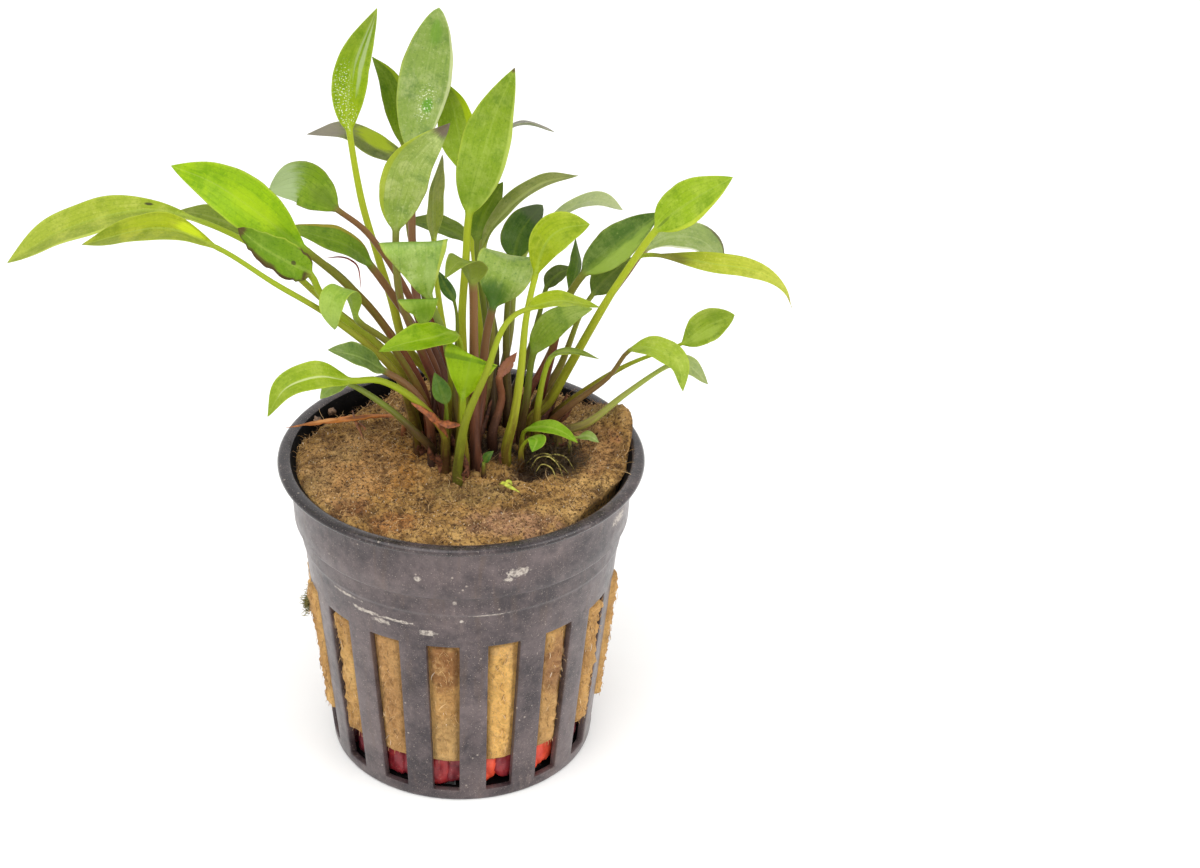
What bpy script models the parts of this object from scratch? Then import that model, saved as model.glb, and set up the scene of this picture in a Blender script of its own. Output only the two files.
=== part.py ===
# Potted cryptocoryne: a small aquarium plant grown in rockwool in a slotted plastic net pot.
# Units are metres. +Z is up, and the origin is the centre of the pot's base, on the floor.
# The leaves and the pot's features are written in millimetres and scaled by MM.
import math

import bpy
import bmesh
from mathutils import Vector, noise

MM = 0.001
GAP = 0.3

# Pot, in millimetres
POT_HEIGHT = 50.0
RIM_RADIUS = 27.5
RIM_MOUTH_RADIUS = 25.6
LIP_THICKNESS = 1.1
LIP_ROUNDING = 0.3
COLLAR_RADIUS = 25.7
COLLAR_FOOT_RADIUS = 25.3
COLLAR_FOOT_HEIGHT = 40.4
SHOULDER_RADIUS = 24.3
SHOULDER_HEIGHT = 39.8
BAND_RADIUS = 24.0
BAND_HEIGHT = 36.6
BASE_RADIUS = 20.4
WALL = 1.1
FLOOR_THICKNESS = 1.5
POT_STEPS = 48

# Slots in the pot's wall and floor
SLOT_COUNT = 16
SLOT_PHASE_DEG = 4.1
SLOT_BOTTOM = 1.9
SLOT_TOP = 30.6
SLOT_WIDTH_BOTTOM = 4.0
SLOT_WIDTH_TOP = 4.95
FLOOR_SLOT_INNER = 11.0
FLOOR_SLOT_OUTER = 18.4
FLOOR_SLOT_WIDTH = 2.2

# Rockwool plug: its top edge runs close to the rim in front and on the left, and stands off it
# at the back left and the right. A lump at the back right stands over the rim.
PLUG_BOTTOM = 7.4
PLUG_EDGE_HEIGHT = 49.4
PLUG_EDGE_DROP = 1.7
PLUG_EDGE_INSET = 0.75
PLUG_CROWN = 0.9
PLUG_WAVE = 0.2
PLUG_CLEARANCE = 0.35
PLUG_BULGE_FRONT = 0.5
PLUG_BULGE_SIDE = 1.7
PLUG_BULGE_HALF_DEG = 4.3
PLUG_TOP_RADIUS = 24.8
PLUG_HOLLOWS = ((58.0, 26.0, 1.9), (-135.0, 40.0, 3.8), (165.0, 35.0, 1.6))
PLUG_LUMP_HEADING = 108.0
PLUG_LUMP_SPREAD = 23.0
PLUG_LUMP_REACH = 2.1
PLUG_LUMP_HEIGHT = 3.8

# Layer of clay gravel under the plug
GRAVEL_RADIUS = 18.6
GRAVEL_INSET = 1.3
GRAVEL_WAVE = 0.7
GRAVEL_LEVELS = (1.8, 4.4, 6.9)
GRAVEL_LUMPS = 12
GRAVEL_STEPS = 36

# Leaves
STALK_FOOT_RADIUS = 0.85
BLADE_THICKNESS = 0.5
TIP_HALF_WIDTH = 0.12
WIDEST_AT = 0.42
EDGE_ROUNDNESS = 0.85
RISE_START = 2.5
STALK_SLIMNESS = 0.78
STALK_TAPER = 1.6
FOLD_ROOM = 0.1
FOLD_SPREAD = 0.85
INNER_SHARE = 0.45
STALK_SPANS = 2
BLADE_STATIONS = (0.16, 0.36, 0.58, 0.79, 0.94)
SHORT_BLADE_STATIONS = (0.2, 0.45, 0.7, 0.92)
SHORT_BLADE = 12.0

# Colours of the parts, linear RGB
BRIGHT_GREEN = (0.30, 0.46, 0.03)
SHEEN_GREEN = (0.27, 0.40, 0.12)
DARK_GREEN = (0.08, 0.19, 0.02)
OLIVE_GREEN = (0.17, 0.22, 0.04)
PALE_GREEN = (0.38, 0.44, 0.24)
DRY_BROWN = (0.30, 0.13, 0.05)
POT_GREY = (0.10, 0.085, 0.09)
ROCKWOOL_BROWN = (0.24, 0.14, 0.06)
CLAY_RED = (0.40, 0.06, 0.03)


def clear_scene():
    for thing in list(bpy.context.scene.objects):
        bpy.data.objects.remove(thing, do_unlink=True)


def make_collection(name):
    collection = bpy.data.collections.new(name)
    bpy.context.scene.collection.children.link(collection)
    return collection


def make_material(name, colour, roughness):
    material = bpy.data.materials.new(name)
    material.use_nodes = True
    shader = material.node_tree.nodes["Principled BSDF"]
    shader.inputs["Base Color"].default_value = (*colour, 1.0)
    shader.inputs["Roughness"].default_value = roughness
    shader.inputs["Metallic"].default_value = 0.0
    return material


def add_object(name, mesh, collection, colour, roughness, smooth_angle):
    thing = bpy.data.objects.new(name, mesh)
    collection.objects.link(thing)
    mesh.materials.append(make_material(name + "_material", colour, roughness))
    mesh.shade_smooth()
    mesh.set_sharp_from_angle(angle=math.radians(smooth_angle))
    return thing


def mesh_from(name, points, faces):
    mesh = bpy.data.meshes.new(name)
    mesh.from_pydata([tuple(c * MM for c in p) for p in points], [], faces)
    mesh.update()
    return mesh


# Pot

def outer_radius(height):
    """Radius of the pot's plain wall below the shoulder."""
    return BASE_RADIUS + (BAND_RADIUS - BASE_RADIUS) * height / BAND_HEIGHT


def inner_radius(height):
    """Radius of the pot's cavity."""
    if height <= BAND_HEIGHT:
        return outer_radius(height) - WALL
    if height <= SHOULDER_HEIGHT:
        return BAND_RADIUS - WALL
    return COLLAR_FOOT_RADIUS - WALL


def pot_profile():
    """Radius and height of the pot's section, from the floor's top round to its underside."""
    lip_under = POT_HEIGHT - LIP_THICKNESS
    return [
        (0.0, FLOOR_THICKNESS),
        (inner_radius(FLOOR_THICKNESS), FLOOR_THICKNESS),
        (BAND_RADIUS - WALL, BAND_HEIGHT),
        (BAND_RADIUS - WALL, SHOULDER_HEIGHT),
        (COLLAR_FOOT_RADIUS - WALL, SHOULDER_HEIGHT + WALL),
        (COLLAR_RADIUS - WALL, POT_HEIGHT - 1.4),
        (RIM_MOUTH_RADIUS, POT_HEIGHT),
        (RIM_RADIUS - LIP_ROUNDING, POT_HEIGHT),
        (RIM_RADIUS, POT_HEIGHT - LIP_ROUNDING),
        (RIM_RADIUS, lip_under),
        (COLLAR_RADIUS, lip_under - 0.35),
        (COLLAR_FOOT_RADIUS, COLLAR_FOOT_HEIGHT),
        (SHOULDER_RADIUS, SHOULDER_HEIGHT),
        (SHOULDER_RADIUS, BAND_HEIGHT + 0.3),
        (BAND_RADIUS, BAND_HEIGHT),
        (BASE_RADIUS, 0.0),
        (0.0, 0.0),
    ]


def slot_angle(index):
    """Heading of a slot's middle, measured from the front (-Y) towards +X."""
    return math.radians(SLOT_PHASE_DEG) + math.tau * (index - 2.5) / SLOT_COUNT


def heading(angle):
    return Vector((math.sin(angle), -math.cos(angle), 0.0))


def add_wedge(bm, angle, radius_from, radius_to, low, high, width_low, width_high):
    """A block across the wall at one heading, wider at the top than at the bottom."""
    out = heading(angle)
    side = Vector((out.y, -out.x, 0.0))
    made = bmesh.ops.create_cube(bm, size=1.0)
    for vert in made["verts"]:
        at_top = vert.co.z > 0
        width = width_high if at_top else width_low
        radius = radius_to if vert.co.y > 0 else radius_from
        height = high if at_top else low
        place = out * radius + side * (vert.co.x * width)
        vert.co = Vector((place.x, place.y, height)) * MM


def add_cutter(name, bm, collection):
    mesh = bpy.data.meshes.new(name)
    bm.to_mesh(mesh)
    bm.free()
    cutter = bpy.data.objects.new(name, mesh)
    collection.objects.link(cutter)
    cutter.hide_render = True
    cutter.display_type = "WIRE"
    return cutter


def make_slot_cutter(collection):
    bm = bmesh.new()
    for index in range(SLOT_COUNT):
        add_wedge(bm, slot_angle(index), BASE_RADIUS - 3.0, BAND_RADIUS + 2.0, SLOT_BOTTOM, SLOT_TOP,
                  SLOT_WIDTH_BOTTOM, SLOT_WIDTH_TOP)
    return add_cutter("wall_slot_cutter", bm, collection)


def make_floor_cutter(collection):
    bm = bmesh.new()
    for index in range(0, SLOT_COUNT, 2):
        add_wedge(bm, slot_angle(index), FLOOR_SLOT_INNER, FLOOR_SLOT_OUTER, -1.0, FLOOR_THICKNESS + 1.0,
                  FLOOR_SLOT_WIDTH, FLOOR_SLOT_WIDTH)
    return add_cutter("floor_slot_cutter", bm, collection)


def make_pot(collection, cutters):
    profile = pot_profile()
    edges = [(i, i + 1) for i in range(len(profile) - 1)]
    mesh = bpy.data.meshes.new("pot")
    mesh.from_pydata([(r * MM, 0.0, z * MM) for r, z in profile], edges, [])
    pot = bpy.data.objects.new("pot", mesh)
    collection.objects.link(pot)
    mesh.materials.append(make_material("pot_material", POT_GREY, 0.45))
    screw = pot.modifiers.new("turn", "SCREW")
    screw.axis = "Z"
    screw.steps = POT_STEPS
    screw.render_steps = POT_STEPS
    screw.use_merge_vertices = True
    screw.merge_threshold = 0.00001
    screw.use_smooth_shade = True
    for cutter in (make_slot_cutter(cutters), make_floor_cutter(cutters)):
        cut = pot.modifiers.new("slots", "BOOLEAN")
        cut.operation = "DIFFERENCE"
        cut.object = cutter
    return pot


# Rockwool plug

def nearness(angle, heading_deg, spread_deg):
    """1 at a heading, falling smoothly to 0 at the spread to either side."""
    away = (math.degrees(angle) - heading_deg + 180.0) % 360.0 - 180.0
    if abs(away) >= spread_deg:
        return 0.0
    return 0.5 + 0.5 * math.cos(math.pi * away / spread_deg)


def plug_edge_radius(angle):
    radius = PLUG_TOP_RADIUS
    for heading_deg, spread_deg, depth in PLUG_HOLLOWS:
        radius -= depth * nearness(angle, heading_deg, spread_deg)
    return radius


def plug_top(x, y):
    """Height of the rockwool's top surface."""
    angle = math.atan2(x, -y)
    spread = min(1.0, math.hypot(x, y) / PLUG_TOP_RADIUS)
    wave = noise.noise(Vector((x * 0.16, y * 0.16, 4.0)))
    lump = PLUG_LUMP_HEIGHT * nearness(angle, PLUG_LUMP_HEADING, PLUG_LUMP_SPREAD) * spread ** 4
    crown = PLUG_CROWN * (1.0 - spread ** 2) + PLUG_WAVE * wave * (1.0 - spread ** 4)
    return PLUG_EDGE_HEIGHT + crown + lump


def plug_bulge(angle):
    """How far the wool stands past the cavity wall in the slots, most at the two sides."""
    return PLUG_BULGE_FRONT + (PLUG_BULGE_SIDE - PLUG_BULGE_FRONT) * math.sin(angle) ** 6


def plug_columns():
    """Headings round the plug, four to a slot, with True where the wool fills the slot."""
    columns = []
    half = math.radians(PLUG_BULGE_HALF_DEG)
    step = math.radians(0.25)
    for index in range(SLOT_COUNT):
        middle = slot_angle(index)
        for offset, filled in ((-half - step, False), (-half, True), (half, True), (half + step, False)):
            columns.append((middle + offset, filled))
    return columns


def make_plug(collection):
    columns = plug_columns()
    count = len(columns)
    levels = [
        (PLUG_BOTTOM, 0.0),
        (PLUG_BOTTOM + 0.8, 1.0),
        (SLOT_TOP - 1.0, 1.0),
        (SLOT_TOP - 0.4, 0.0),
        (SHOULDER_HEIGHT - 0.5, 0.0),
    ]
    points = []
    for height, fill in levels:
        for angle, filled in columns:
            radius = inner_radius(height) - PLUG_CLEARANCE
            if filled:
                radius += plug_bulge(angle) * fill
            spot = heading(angle) * radius
            points.append((spot.x, spot.y, height))
    for angle, _ in columns:
        lump = nearness(angle, PLUG_LUMP_HEADING, PLUG_LUMP_SPREAD)
        spot = heading(angle) * (plug_edge_radius(angle) - PLUG_EDGE_INSET * (1.0 - 0.8 * lump))
        points.append((spot.x, spot.y, PLUG_EDGE_HEIGHT - PLUG_EDGE_DROP * (1.0 - 1.6 * lump)))
    for share in (1.0, 0.72, 0.36):
        for angle, _ in columns:
            lump = nearness(angle, PLUG_LUMP_HEADING, PLUG_LUMP_SPREAD)
            reach = PLUG_LUMP_REACH * lump if share == 1.0 else 0.0
            spot = heading(angle) * (plug_edge_radius(angle) * share + reach)
            points.append((spot.x, spot.y, plug_top(spot.x, spot.y)))
    rows = len(levels) + 4
    faces = []
    for row in range(rows - 1):
        for column in range(count):
            a = row * count + column
            b = row * count + (column + 1) % count
            faces.append((a, b, b + count, a + count))
    faces.append(tuple(reversed(range(count))))
    last = (rows - 1) * count
    faces.append(tuple(range(last, last + count)))
    mesh = mesh_from("rockwool_plug", points, faces)
    return add_object("rockwool_plug", mesh, collection, ROCKWOOL_BROWN, 0.95, 40)


# Clay gravel

def make_gravel(collection):
    """A layer of clay lumps that touch, with a scalloped edge, under the rockwool."""
    points = []
    middle = len(GRAVEL_LEVELS) // 2
    for row, height in enumerate(GRAVEL_LEVELS):
        for i in range(GRAVEL_STEPS):
            angle = math.tau * i / GRAVEL_STEPS
            wave = abs(math.sin(angle * GRAVEL_LUMPS / 2.0))
            radius = GRAVEL_RADIUS - GRAVEL_WAVE * (1.0 - wave)
            if row != middle:
                radius -= GRAVEL_INSET
            spot = heading(angle) * radius
            points.append((spot.x, spot.y, height))
    faces = [tuple(reversed(range(GRAVEL_STEPS)))]
    for row in range(len(GRAVEL_LEVELS) - 1):
        for i in range(GRAVEL_STEPS):
            a = row * GRAVEL_STEPS + i
            b = row * GRAVEL_STEPS + (i + 1) % GRAVEL_STEPS
            faces.append((a, b, b + GRAVEL_STEPS, a + GRAVEL_STEPS))
    last = (len(GRAVEL_LEVELS) - 1) * GRAVEL_STEPS
    faces.append(tuple(range(last, last + GRAVEL_STEPS)))
    mesh = mesh_from("clay_gravel", points, faces)
    return add_object("clay_gravel", mesh, collection, CLAY_RED, 0.8, 40)


# Leaves

def smooth_path(points, per_span):
    """Points along a Catmull-Rom curve through the given points."""
    ends = [points[0] * 2 - points[1]] + points + [points[-1] * 2 - points[-2]]
    path = []
    for i in range(1, len(ends) - 2):
        p0, p1, p2, p3 = ends[i - 1:i + 3]
        for step in range(per_span):
            t = step / per_span
            path.append(0.5 * ((2 * p1) + (p2 - p0) * t + (2 * p0 - 5 * p1 + 4 * p2 - p3) * t * t
                               + (3 * p1 - p0 - 3 * p2 + p3) * t ** 3))
    path.append(points[-1].copy())
    return path


def lengths_along(path):
    run = [0.0]
    for a, b in zip(path, path[1:]):
        run.append(run[-1] + (b - a).length)
    return run


def point_at(path, run, distance):
    for i in range(1, len(path)):
        if run[i] >= distance:
            share = (distance - run[i - 1]) / max(run[i] - run[i - 1], 1e-9)
            return path[i - 1].lerp(path[i], share)
    return path[-1].copy()


def leaf_stations(foot, stalk, blade, fold):
    """Spine points of one leaf and how far along the blade each is; stalk points have none."""
    start = Vector((foot[0], foot[1], plug_top(*foot) + GAP))
    rise = start + Vector((0.0, 0.0, RISE_START))
    given = [start, rise] + [Vector(p) for p in stalk] + [Vector(p) for p in blade]
    per_span = 10
    path = smooth_path(given, per_span)
    run = lengths_along(path)
    neck = run[(len(stalk) + 2) * per_span]
    first = RISE_START * 0.8
    rings = min(len(stalk), STALK_SPANS) + 2
    spine = [path[0]]
    shares = [None]
    for i in range(rings - 1):
        spine.append(point_at(path, run, first + (neck - first) * i / (rings - 1)))
        shares.append(None)
    spine.append(point_at(path, run, neck))
    shares.append(0.0)
    stations = BLADE_STATIONS if run[-1] - neck > SHORT_BLADE else SHORT_BLADE_STATIONS
    if fold:
        stations = sorted([share for share in stations if abs(share - fold) > FOLD_ROOM] + [fold])
    for share in stations:
        spine.append(point_at(path, run, neck + (run[-1] - neck) * share))
        shares.append(share)
    spine.append(path[-1])
    shares.append(1.0)
    return spine, shares


def tangents(spine):
    found = []
    last = len(spine) - 1
    for i in range(len(spine)):
        found.append((spine[min(i + 1, last)] - spine[max(i - 1, 0)]).normalized())
    found[0] = Vector((0.0, 0.0, 1.0))
    return found


def carried_normals(along, start, normal):
    """The upper side's direction at each station, carried along the spine without twisting."""
    normals = [None] * len(along)
    normals[start] = (normal - along[start] * normal.dot(along[start])).normalized()
    for i in range(start + 1, len(along)):
        turn = along[i - 1].rotation_difference(along[i])
        normals[i] = turn @ normals[i - 1]
    for i in range(start - 1, -1, -1):
        turn = along[i + 1].rotation_difference(along[i])
        normals[i] = turn @ normals[i + 1]
    return normals


def blade_half_width(share, width, widest, blunt, fold):
    """Half the blade's width: widest at a share of its length, a lower blunt gives fuller ends.

    A blade with a fold widens straight up to the fold and rounds off behind it.
    """
    if fold and share < fold:
        return 0.5 * width * (share / fold) ** FOLD_SPREAD
    if fold:
        return 0.5 * width * math.sqrt(max(0.0, 1.0 - ((share - fold) / (1.0 - fold)) ** 2))
    power = math.log(0.5) / math.log(widest)
    return 0.5 * width * max(0.0, math.sin(math.pi * share ** power)) ** blunt


def leaf_ring(centre, across, up, radius, half, thick, cup, lean):
    """Six points round a station: a hexagon on the stalk, a shallow trough on the blade."""
    right = max(radius, half * (1.0 - lean))
    left = max(radius, half * (1.0 + lean))
    inner_right = max(radius * 0.5, right * INNER_SHARE)
    inner_left = max(radius * 0.5, left * INNER_SHARE)
    return [
        centre + across * right + up * cup * (right - radius),
        centre + across * inner_right + up * thick,
        centre - across * inner_left + up * thick,
        centre - across * left + up * cup * (left - radius),
        centre - across * inner_left - up * thick,
        centre + across * inner_right - up * thick,
    ]


def make_leaf(collection, name, colour, foot, stalk, blade, width, neck, face, cup=0.25,
              widest=WIDEST_AT, blunt=EDGE_ROUNDNESS, foot_radius=STALK_FOOT_RADIUS, fold=None, lean=0.0):
    """One grown piece: a stalk that rises from the wool and widens into a blade."""
    spine, shares = leaf_stations(foot, stalk, blade, fold)
    along = tangents(spine)
    first_blade = shares.index(0.0)
    normals = carried_normals(along, first_blade + 3, Vector(face))
    neck *= STALK_SLIMNESS
    points = []
    for i, centre in enumerate(spine):
        up = normals[i]
        across = along[i].cross(up).normalized()
        if shares[i] is None:
            grown = i / first_blade
            radius = neck + (foot_radius - neck) * (1.0 - grown) ** STALK_TAPER
            ring = leaf_ring(centre, across, up, radius, 0.0, radius * 0.87, 0.0, 0.0)
        else:
            radius = neck * (1.0 - shares[i]) ** 2
            half = max(blade_half_width(shares[i], width, widest, blunt, fold), TIP_HALF_WIDTH)
            thick = max(radius * 0.87, BLADE_THICKNESS * 0.5 * (1.0 - 0.6 * shares[i]))
            ring = leaf_ring(centre, across, up, radius, half, thick, cup, lean)
        points.extend(tuple(p) for p in ring)
    faces = [tuple(range(6))]
    for i in range(len(spine) - 1):
        for k in range(6):
            a = i * 6 + k
            b = i * 6 + (k + 1) % 6
            faces.append((a, a + 6, b + 6, b))
    last = (len(spine) - 1) * 6
    faces.append(tuple(reversed(range(last, last + 6))))
    mesh = mesh_from(name, points, faces)
    return add_object(name, mesh, collection, colour, 0.4, 60)


def make_left_leaves(plant):
    make_leaf(plant, "leaf_far_left", BRIGHT_GREEN, (-6.4, 3.8),
              [(-10, 1, 65), (-19, 2, 73.5), (-27, 4.5, 80)],
              [(-37, 7, 84.5), (-46, 8, 85.9), (-57, 8, 82.9), (-65.5, 6, 78.5)], 6.9, 0.55, (0, -0.4, 0.9),
              widest=0.6)
    make_leaf(plant, "leaf_left_low", BRIGHT_GREEN, (-6.6, -1.0),
              [(-9.5, -5.5, 66.5), (-18, -6.8, 75.9), (-26, -8.9, 82.7)],
              [(-33.5, -9.4, 88.4), (-41, -10.2, 91.7), (-52, -9, 88.7)], 5.5, 0.5, (0, -0.35, 0.95), widest=0.5)
    make_leaf(plant, "leaf_left_broad", BRIGHT_GREEN, (-4.8, 2.2),
              [(-6.2, 3.2, 60), (-12, 4.5, 70), (-17, 3, 77)],
              [(-22, 1.4, 82.6), (-28.2, -0.6, 89.3), (-34.2, -2, 94.7), (-40, -2, 97.4)], 7.6, 0.75,
              (0.1, -0.8, 0.6), widest=0.52)
    make_leaf(plant, "leaf_left_tucked", OLIVE_GREEN, (-6.4, 6.4),
              [(-9.2, 8.8, 62.6), (-13.3, 9, 69.1), (-20, 9.5, 76.6)],
              [(-31, 9.5, 81.8), (-36.4, 9.5, 84.2), (-40.8, 9.5, 85.2)], 4.2, 0.5, (0, -0.5, 0.85))
    make_leaf(plant, "leaf_left_curled", DARK_GREEN, (-3.8, 8.0),
              [(-4.5, 9.4, 59.2), (-7.4, 12, 69), (-13.2, 13.5, 78.9)],
              [(-18.2, 14, 83.3), (-20.9, 15, 85.2), (-24, 15.5, 86.9), (-28, 13, 87)], 6.8, 0.6,
              (-0.1, -0.8, 0.6), widest=0.5, blunt=0.7)
    make_leaf(plant, "leaf_left_inner", DARK_GREEN, (-3.6, 5.6),
              [(-3.7, 7, 59.3), (-6.9, 8.6, 66.2)],
              [(-13.1, 9, 76.3), (-16.2, 8, 80), (-20.5, 7, 82.2), (-25.4, 6, 84.3)], 5.2, 0.85,
              (0, -0.4, 0.9))
    make_leaf(plant, "leaf_left_browned", BRIGHT_GREEN, (-6.6, 1.2),
              [(-8.7, -1, 64.1), (-12.9, -1.5, 69.6), (-16.7, -2, 73.2), (-19.9, -2.6, 77.6)],
              [(-21.4, -3, 81.2), (-24.5, -4, 83.6), (-27.8, -4.8, 86.2), (-31, -5, 89.3)], 5.8, 0.7,
              (0.2, -0.7, 0.7), widest=0.36, blunt=0.6)
    make_leaf(plant, "leaf_left_folded", BRIGHT_GREEN, (-4.8, -0.5),
              [(-5.5, -3, 60.5), (-9.6, -4, 69.5), (-11.9, -4, 71.9)],
              [(-14.8, -4.2, 74.4), (-15.3, -5, 78.1), (-16.3, -6.5, 80.6), (-17.6, -8.5, 80.7),
               (-18.2, -9.5, 78.5), (-17.8, -9.5, 75.7)], 4.6, 0.7, (0, 0, 1), cup=0.1, widest=0.6, blunt=0.7)
    make_leaf(plant, "leaf_back_left", OLIVE_GREEN, (-0.4, 10.6),
              [(-4.4, 17, 62.8), (-6.9, 21.5, 71.6), (-7.8, 27, 78.2)],
              [(-9, 29.5, 83.8), (-12.7, 31, 85.6), (-17.7, 32, 88), (-23.4, 31, 88)], 4.8, 0.55,
              (0, -0.4, 0.9), widest=0.34)


def make_tall_leaves(plant):
    make_leaf(plant, "leaf_tall_left", BRIGHT_GREEN, (-2.6, 10.4),
              [(-5, 12, 57), (-8.6, 13, 61.2), (-10.5, 15, 67.8), (-12.8, 17, 75.3), (-14.9, 19, 82.9)],
              [(-16.4, 20.5, 92.9), (-16.6, 21.5, 97.6), (-15.5, 22, 103.9), (-12, 22, 111.6)], 5.4, 0.65,
              (0.2, -0.95, 0.2))
    make_leaf(plant, "leaf_tall_hidden", DARK_GREEN, (0.8, 8.0),
              [(-3.2, 14, 61.4), (-6.2, 18, 71.3), (-7.9, 22, 76.5)],
              [(-8.7, 28, 87.6), (-9.2, 30, 91.8), (-10.8, 31, 96.9), (-13.2, 31, 100.6)], 4.4, 0.5,
              (0.2, -0.95, 0.2))
    make_leaf(plant, "leaf_tall_centre", SHEEN_GREEN, (0.2, 5.6),
              [(-3.3, 10.6, 59), (-5.9, 13.5, 65.2), (-7.1, 17, 70.2), (-7.4, 20, 78.8)],
              [(-7.2, 24, 87.8), (-6.1, 27, 94.5), (-4.7, 29, 101), (-3.1, 30, 108.8)], 8.2, 0.75,
              (0, -0.97, 0.2), widest=0.48, blunt=0.75)
    make_leaf(plant, "leaf_behind_tall", BRIGHT_GREEN, (2.8, 6.8),
              [(2.8, 11.5, 59.4), (2.7, 15, 67.8), (1.7, 20.5, 75.9)],
              [(1, 25, 84.2), (-0.1, 28, 89.1), (-1.4, 30, 94), (-3.4, 30, 97.8)], 6.2, 0.6,
              (-0.3, -0.95, 0.2))
    make_leaf(plant, "leaf_centre_upright", SHEEN_GREEN, (-2.4, 3.2),
              [(-3.2, 4.6, 57.2), (-7.3, 6, 67.5), (-9.2, 7.5, 73.3)],
              [(-9.5, 9, 82.2), (-8.5, 9, 88.8), (-6.6, 8, 94.4), (-1.5, 6, 100.5)], 7.0, 0.7,
              (0.1, -0.95, 0.2))
    make_leaf(plant, "leaf_tall_right", BRIGHT_GREEN, (0.6, 3.4),
              [(0.4, 7, 57.5), (0.1, 10, 67), (0.7, 12, 75.7)],
              [(1.2, 14, 82.5), (3, 16, 89.6), (4.8, 18, 95.8), (7.9, 18, 104.1)], 7.5, 0.75,
              (-0.2, -0.95, 0.2))
    make_leaf(plant, "leaf_back_thin", PALE_GREEN, (3.0, 11.4),
              [(3.2, 19.5, 61.6), (3.2, 26, 75)],
              [(4.5, 29.6, 86.2), (7.5, 31, 89), (10.5, 31, 89.7), (14.4, 30, 88.9)], 4.0, 0.45, (0, 0.3, 0.95),
              blunt=0.7)
    make_leaf(plant, "leaf_centre_edgewise", OLIVE_GREEN, (0.4, 1.6),
              [(-1.2, 3.4, 60), (-3.2, 4, 73)],
              [(-3.9, 4, 83), (-4, 4, 90.5), (-2.6, 3, 97)], 5.0, 0.55, (0.97, -0.25, 0))
    make_leaf(plant, "leaf_back_crossing", DARK_GREEN, (4.8, 7.8),
              [(5.2, 15.5, 61), (3.2, 20, 69)],
              [(1, 22.4, 74), (-3.2, 23.6, 76), (-8.5, 23.6, 77)], 4.4, 0.55, (0, -0.3, 0.95))
    make_leaf(plant, "leaf_back_dark", DARK_GREEN, (4.6, 5.4),
              [(4.4, 9.5, 60.6), (3, 13.2, 71.2)],
              [(2.4, 16, 77.2), (3.8, 18.5, 80.9), (6.3, 20, 85.1)], 4.6, 0.55, (-0.3, -0.9, 0.3))


def make_centre_leaves(plant):
    make_leaf(plant, "leaf_centre_broad", SHEEN_GREEN, (2.2, 0.8),
              [(3, 3, 58), (3.5, 3, 66.5)],
              [(4.5, 3, 72.3), (5.8, 3, 76.7), (6.7, 5, 79), (7.2, 8.5, 78.6)], 8.8, 0.8, (-0.1, -0.9, 0.4),
              widest=0.62, blunt=0.75)
    make_leaf(plant, "leaf_centre_olive", OLIVE_GREEN, (2.0, -5.6),
              [(1.9, -4.8, 58), (1.8, -3.4, 69)],
              [(1.7, -3, 79.5), (1, -6, 84.5), (-0.6, -9.5, 86), (-2.2, -12, 85)], 5.2, 0.85,
              (0, -0.2, 0.97))
    make_leaf(plant, "leaf_centre_pale", SHEEN_GREEN, (-0.2, -1.8),
              [(-1, -2.2, 60.2), (-2.1, -2.4, 69.4)],
              [(-4.4, -2.4, 76.7), (-4.8, -2, 81), (-4.9, -1.4, 85), (-4.9, 0.2, 84.4), (-4.9, 1, 82.2)],
              10.2, 0.7, (0, -0.9, 0.4), cup=0.06, fold=0.7, lean=0.38)
    make_leaf(plant, "leaf_centre_small", BRIGHT_GREEN, (-2.2, -1.9),
              [(-2, -3.3, 59), (-1.6, -5.2, 70.2)],
              [(-4.9, -5.2, 73.8), (-4.9, -5.4, 76), (-5, -5.5, 78.2), (-5, -4.6, 77.9), (-5, -4, 76.9)],
              6.0, 0.35, (0, -0.9, 0.4), cup=0.06, fold=0.7, lean=0.38)
    make_leaf(plant, "leaf_front_bright", BRIGHT_GREEN, (-0.4, -4.4),
              [(0, -5, 60), (0, -4.7, 69)],
              [(-1, -6, 73.2), (-4.2, -9.7, 74.4), (-8, -11, 74.2), (-11.6, -12, 73.5)], 6.4, 0.6,
              (0, -0.15, 0.98))
    make_leaf(plant, "leaf_front_upright", BRIGHT_GREEN, (0.4, -6.9),
              [(0.2, -7.6, 57.6)],
              [(0.2, -8.4, 63.6), (0.7, -8.9, 67.2), (1.4, -9, 71), (1.5, -8.3, 70.5), (1.6, -8, 69)],
              8.0, 0.6, (0, -0.9, 0.4), cup=0.06, fold=0.7)
    make_leaf(plant, "leaf_front_dark", DARK_GREEN, (-2.6, -3.9),
              [(-2.2, -5.2, 57.4)],
              [(-2.3, -5.8, 61.5), (-3, -6, 64.1), (-3.9, -5.8, 66.7)], 2.8, 0.3, (0, -0.9, 0.4))
    make_leaf(plant, "leaf_centre_torn", DARK_GREEN, (-1.4, 0.0),
              [(-1.2, 0.4, 60), (-0.6, 1, 70)],
              [(-1, 1, 74.7), (-2.2, 1, 77.1), (-3.3, 1, 79.7)], 1.9, 0.3, (0.3, -0.9, 0.2))


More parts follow.
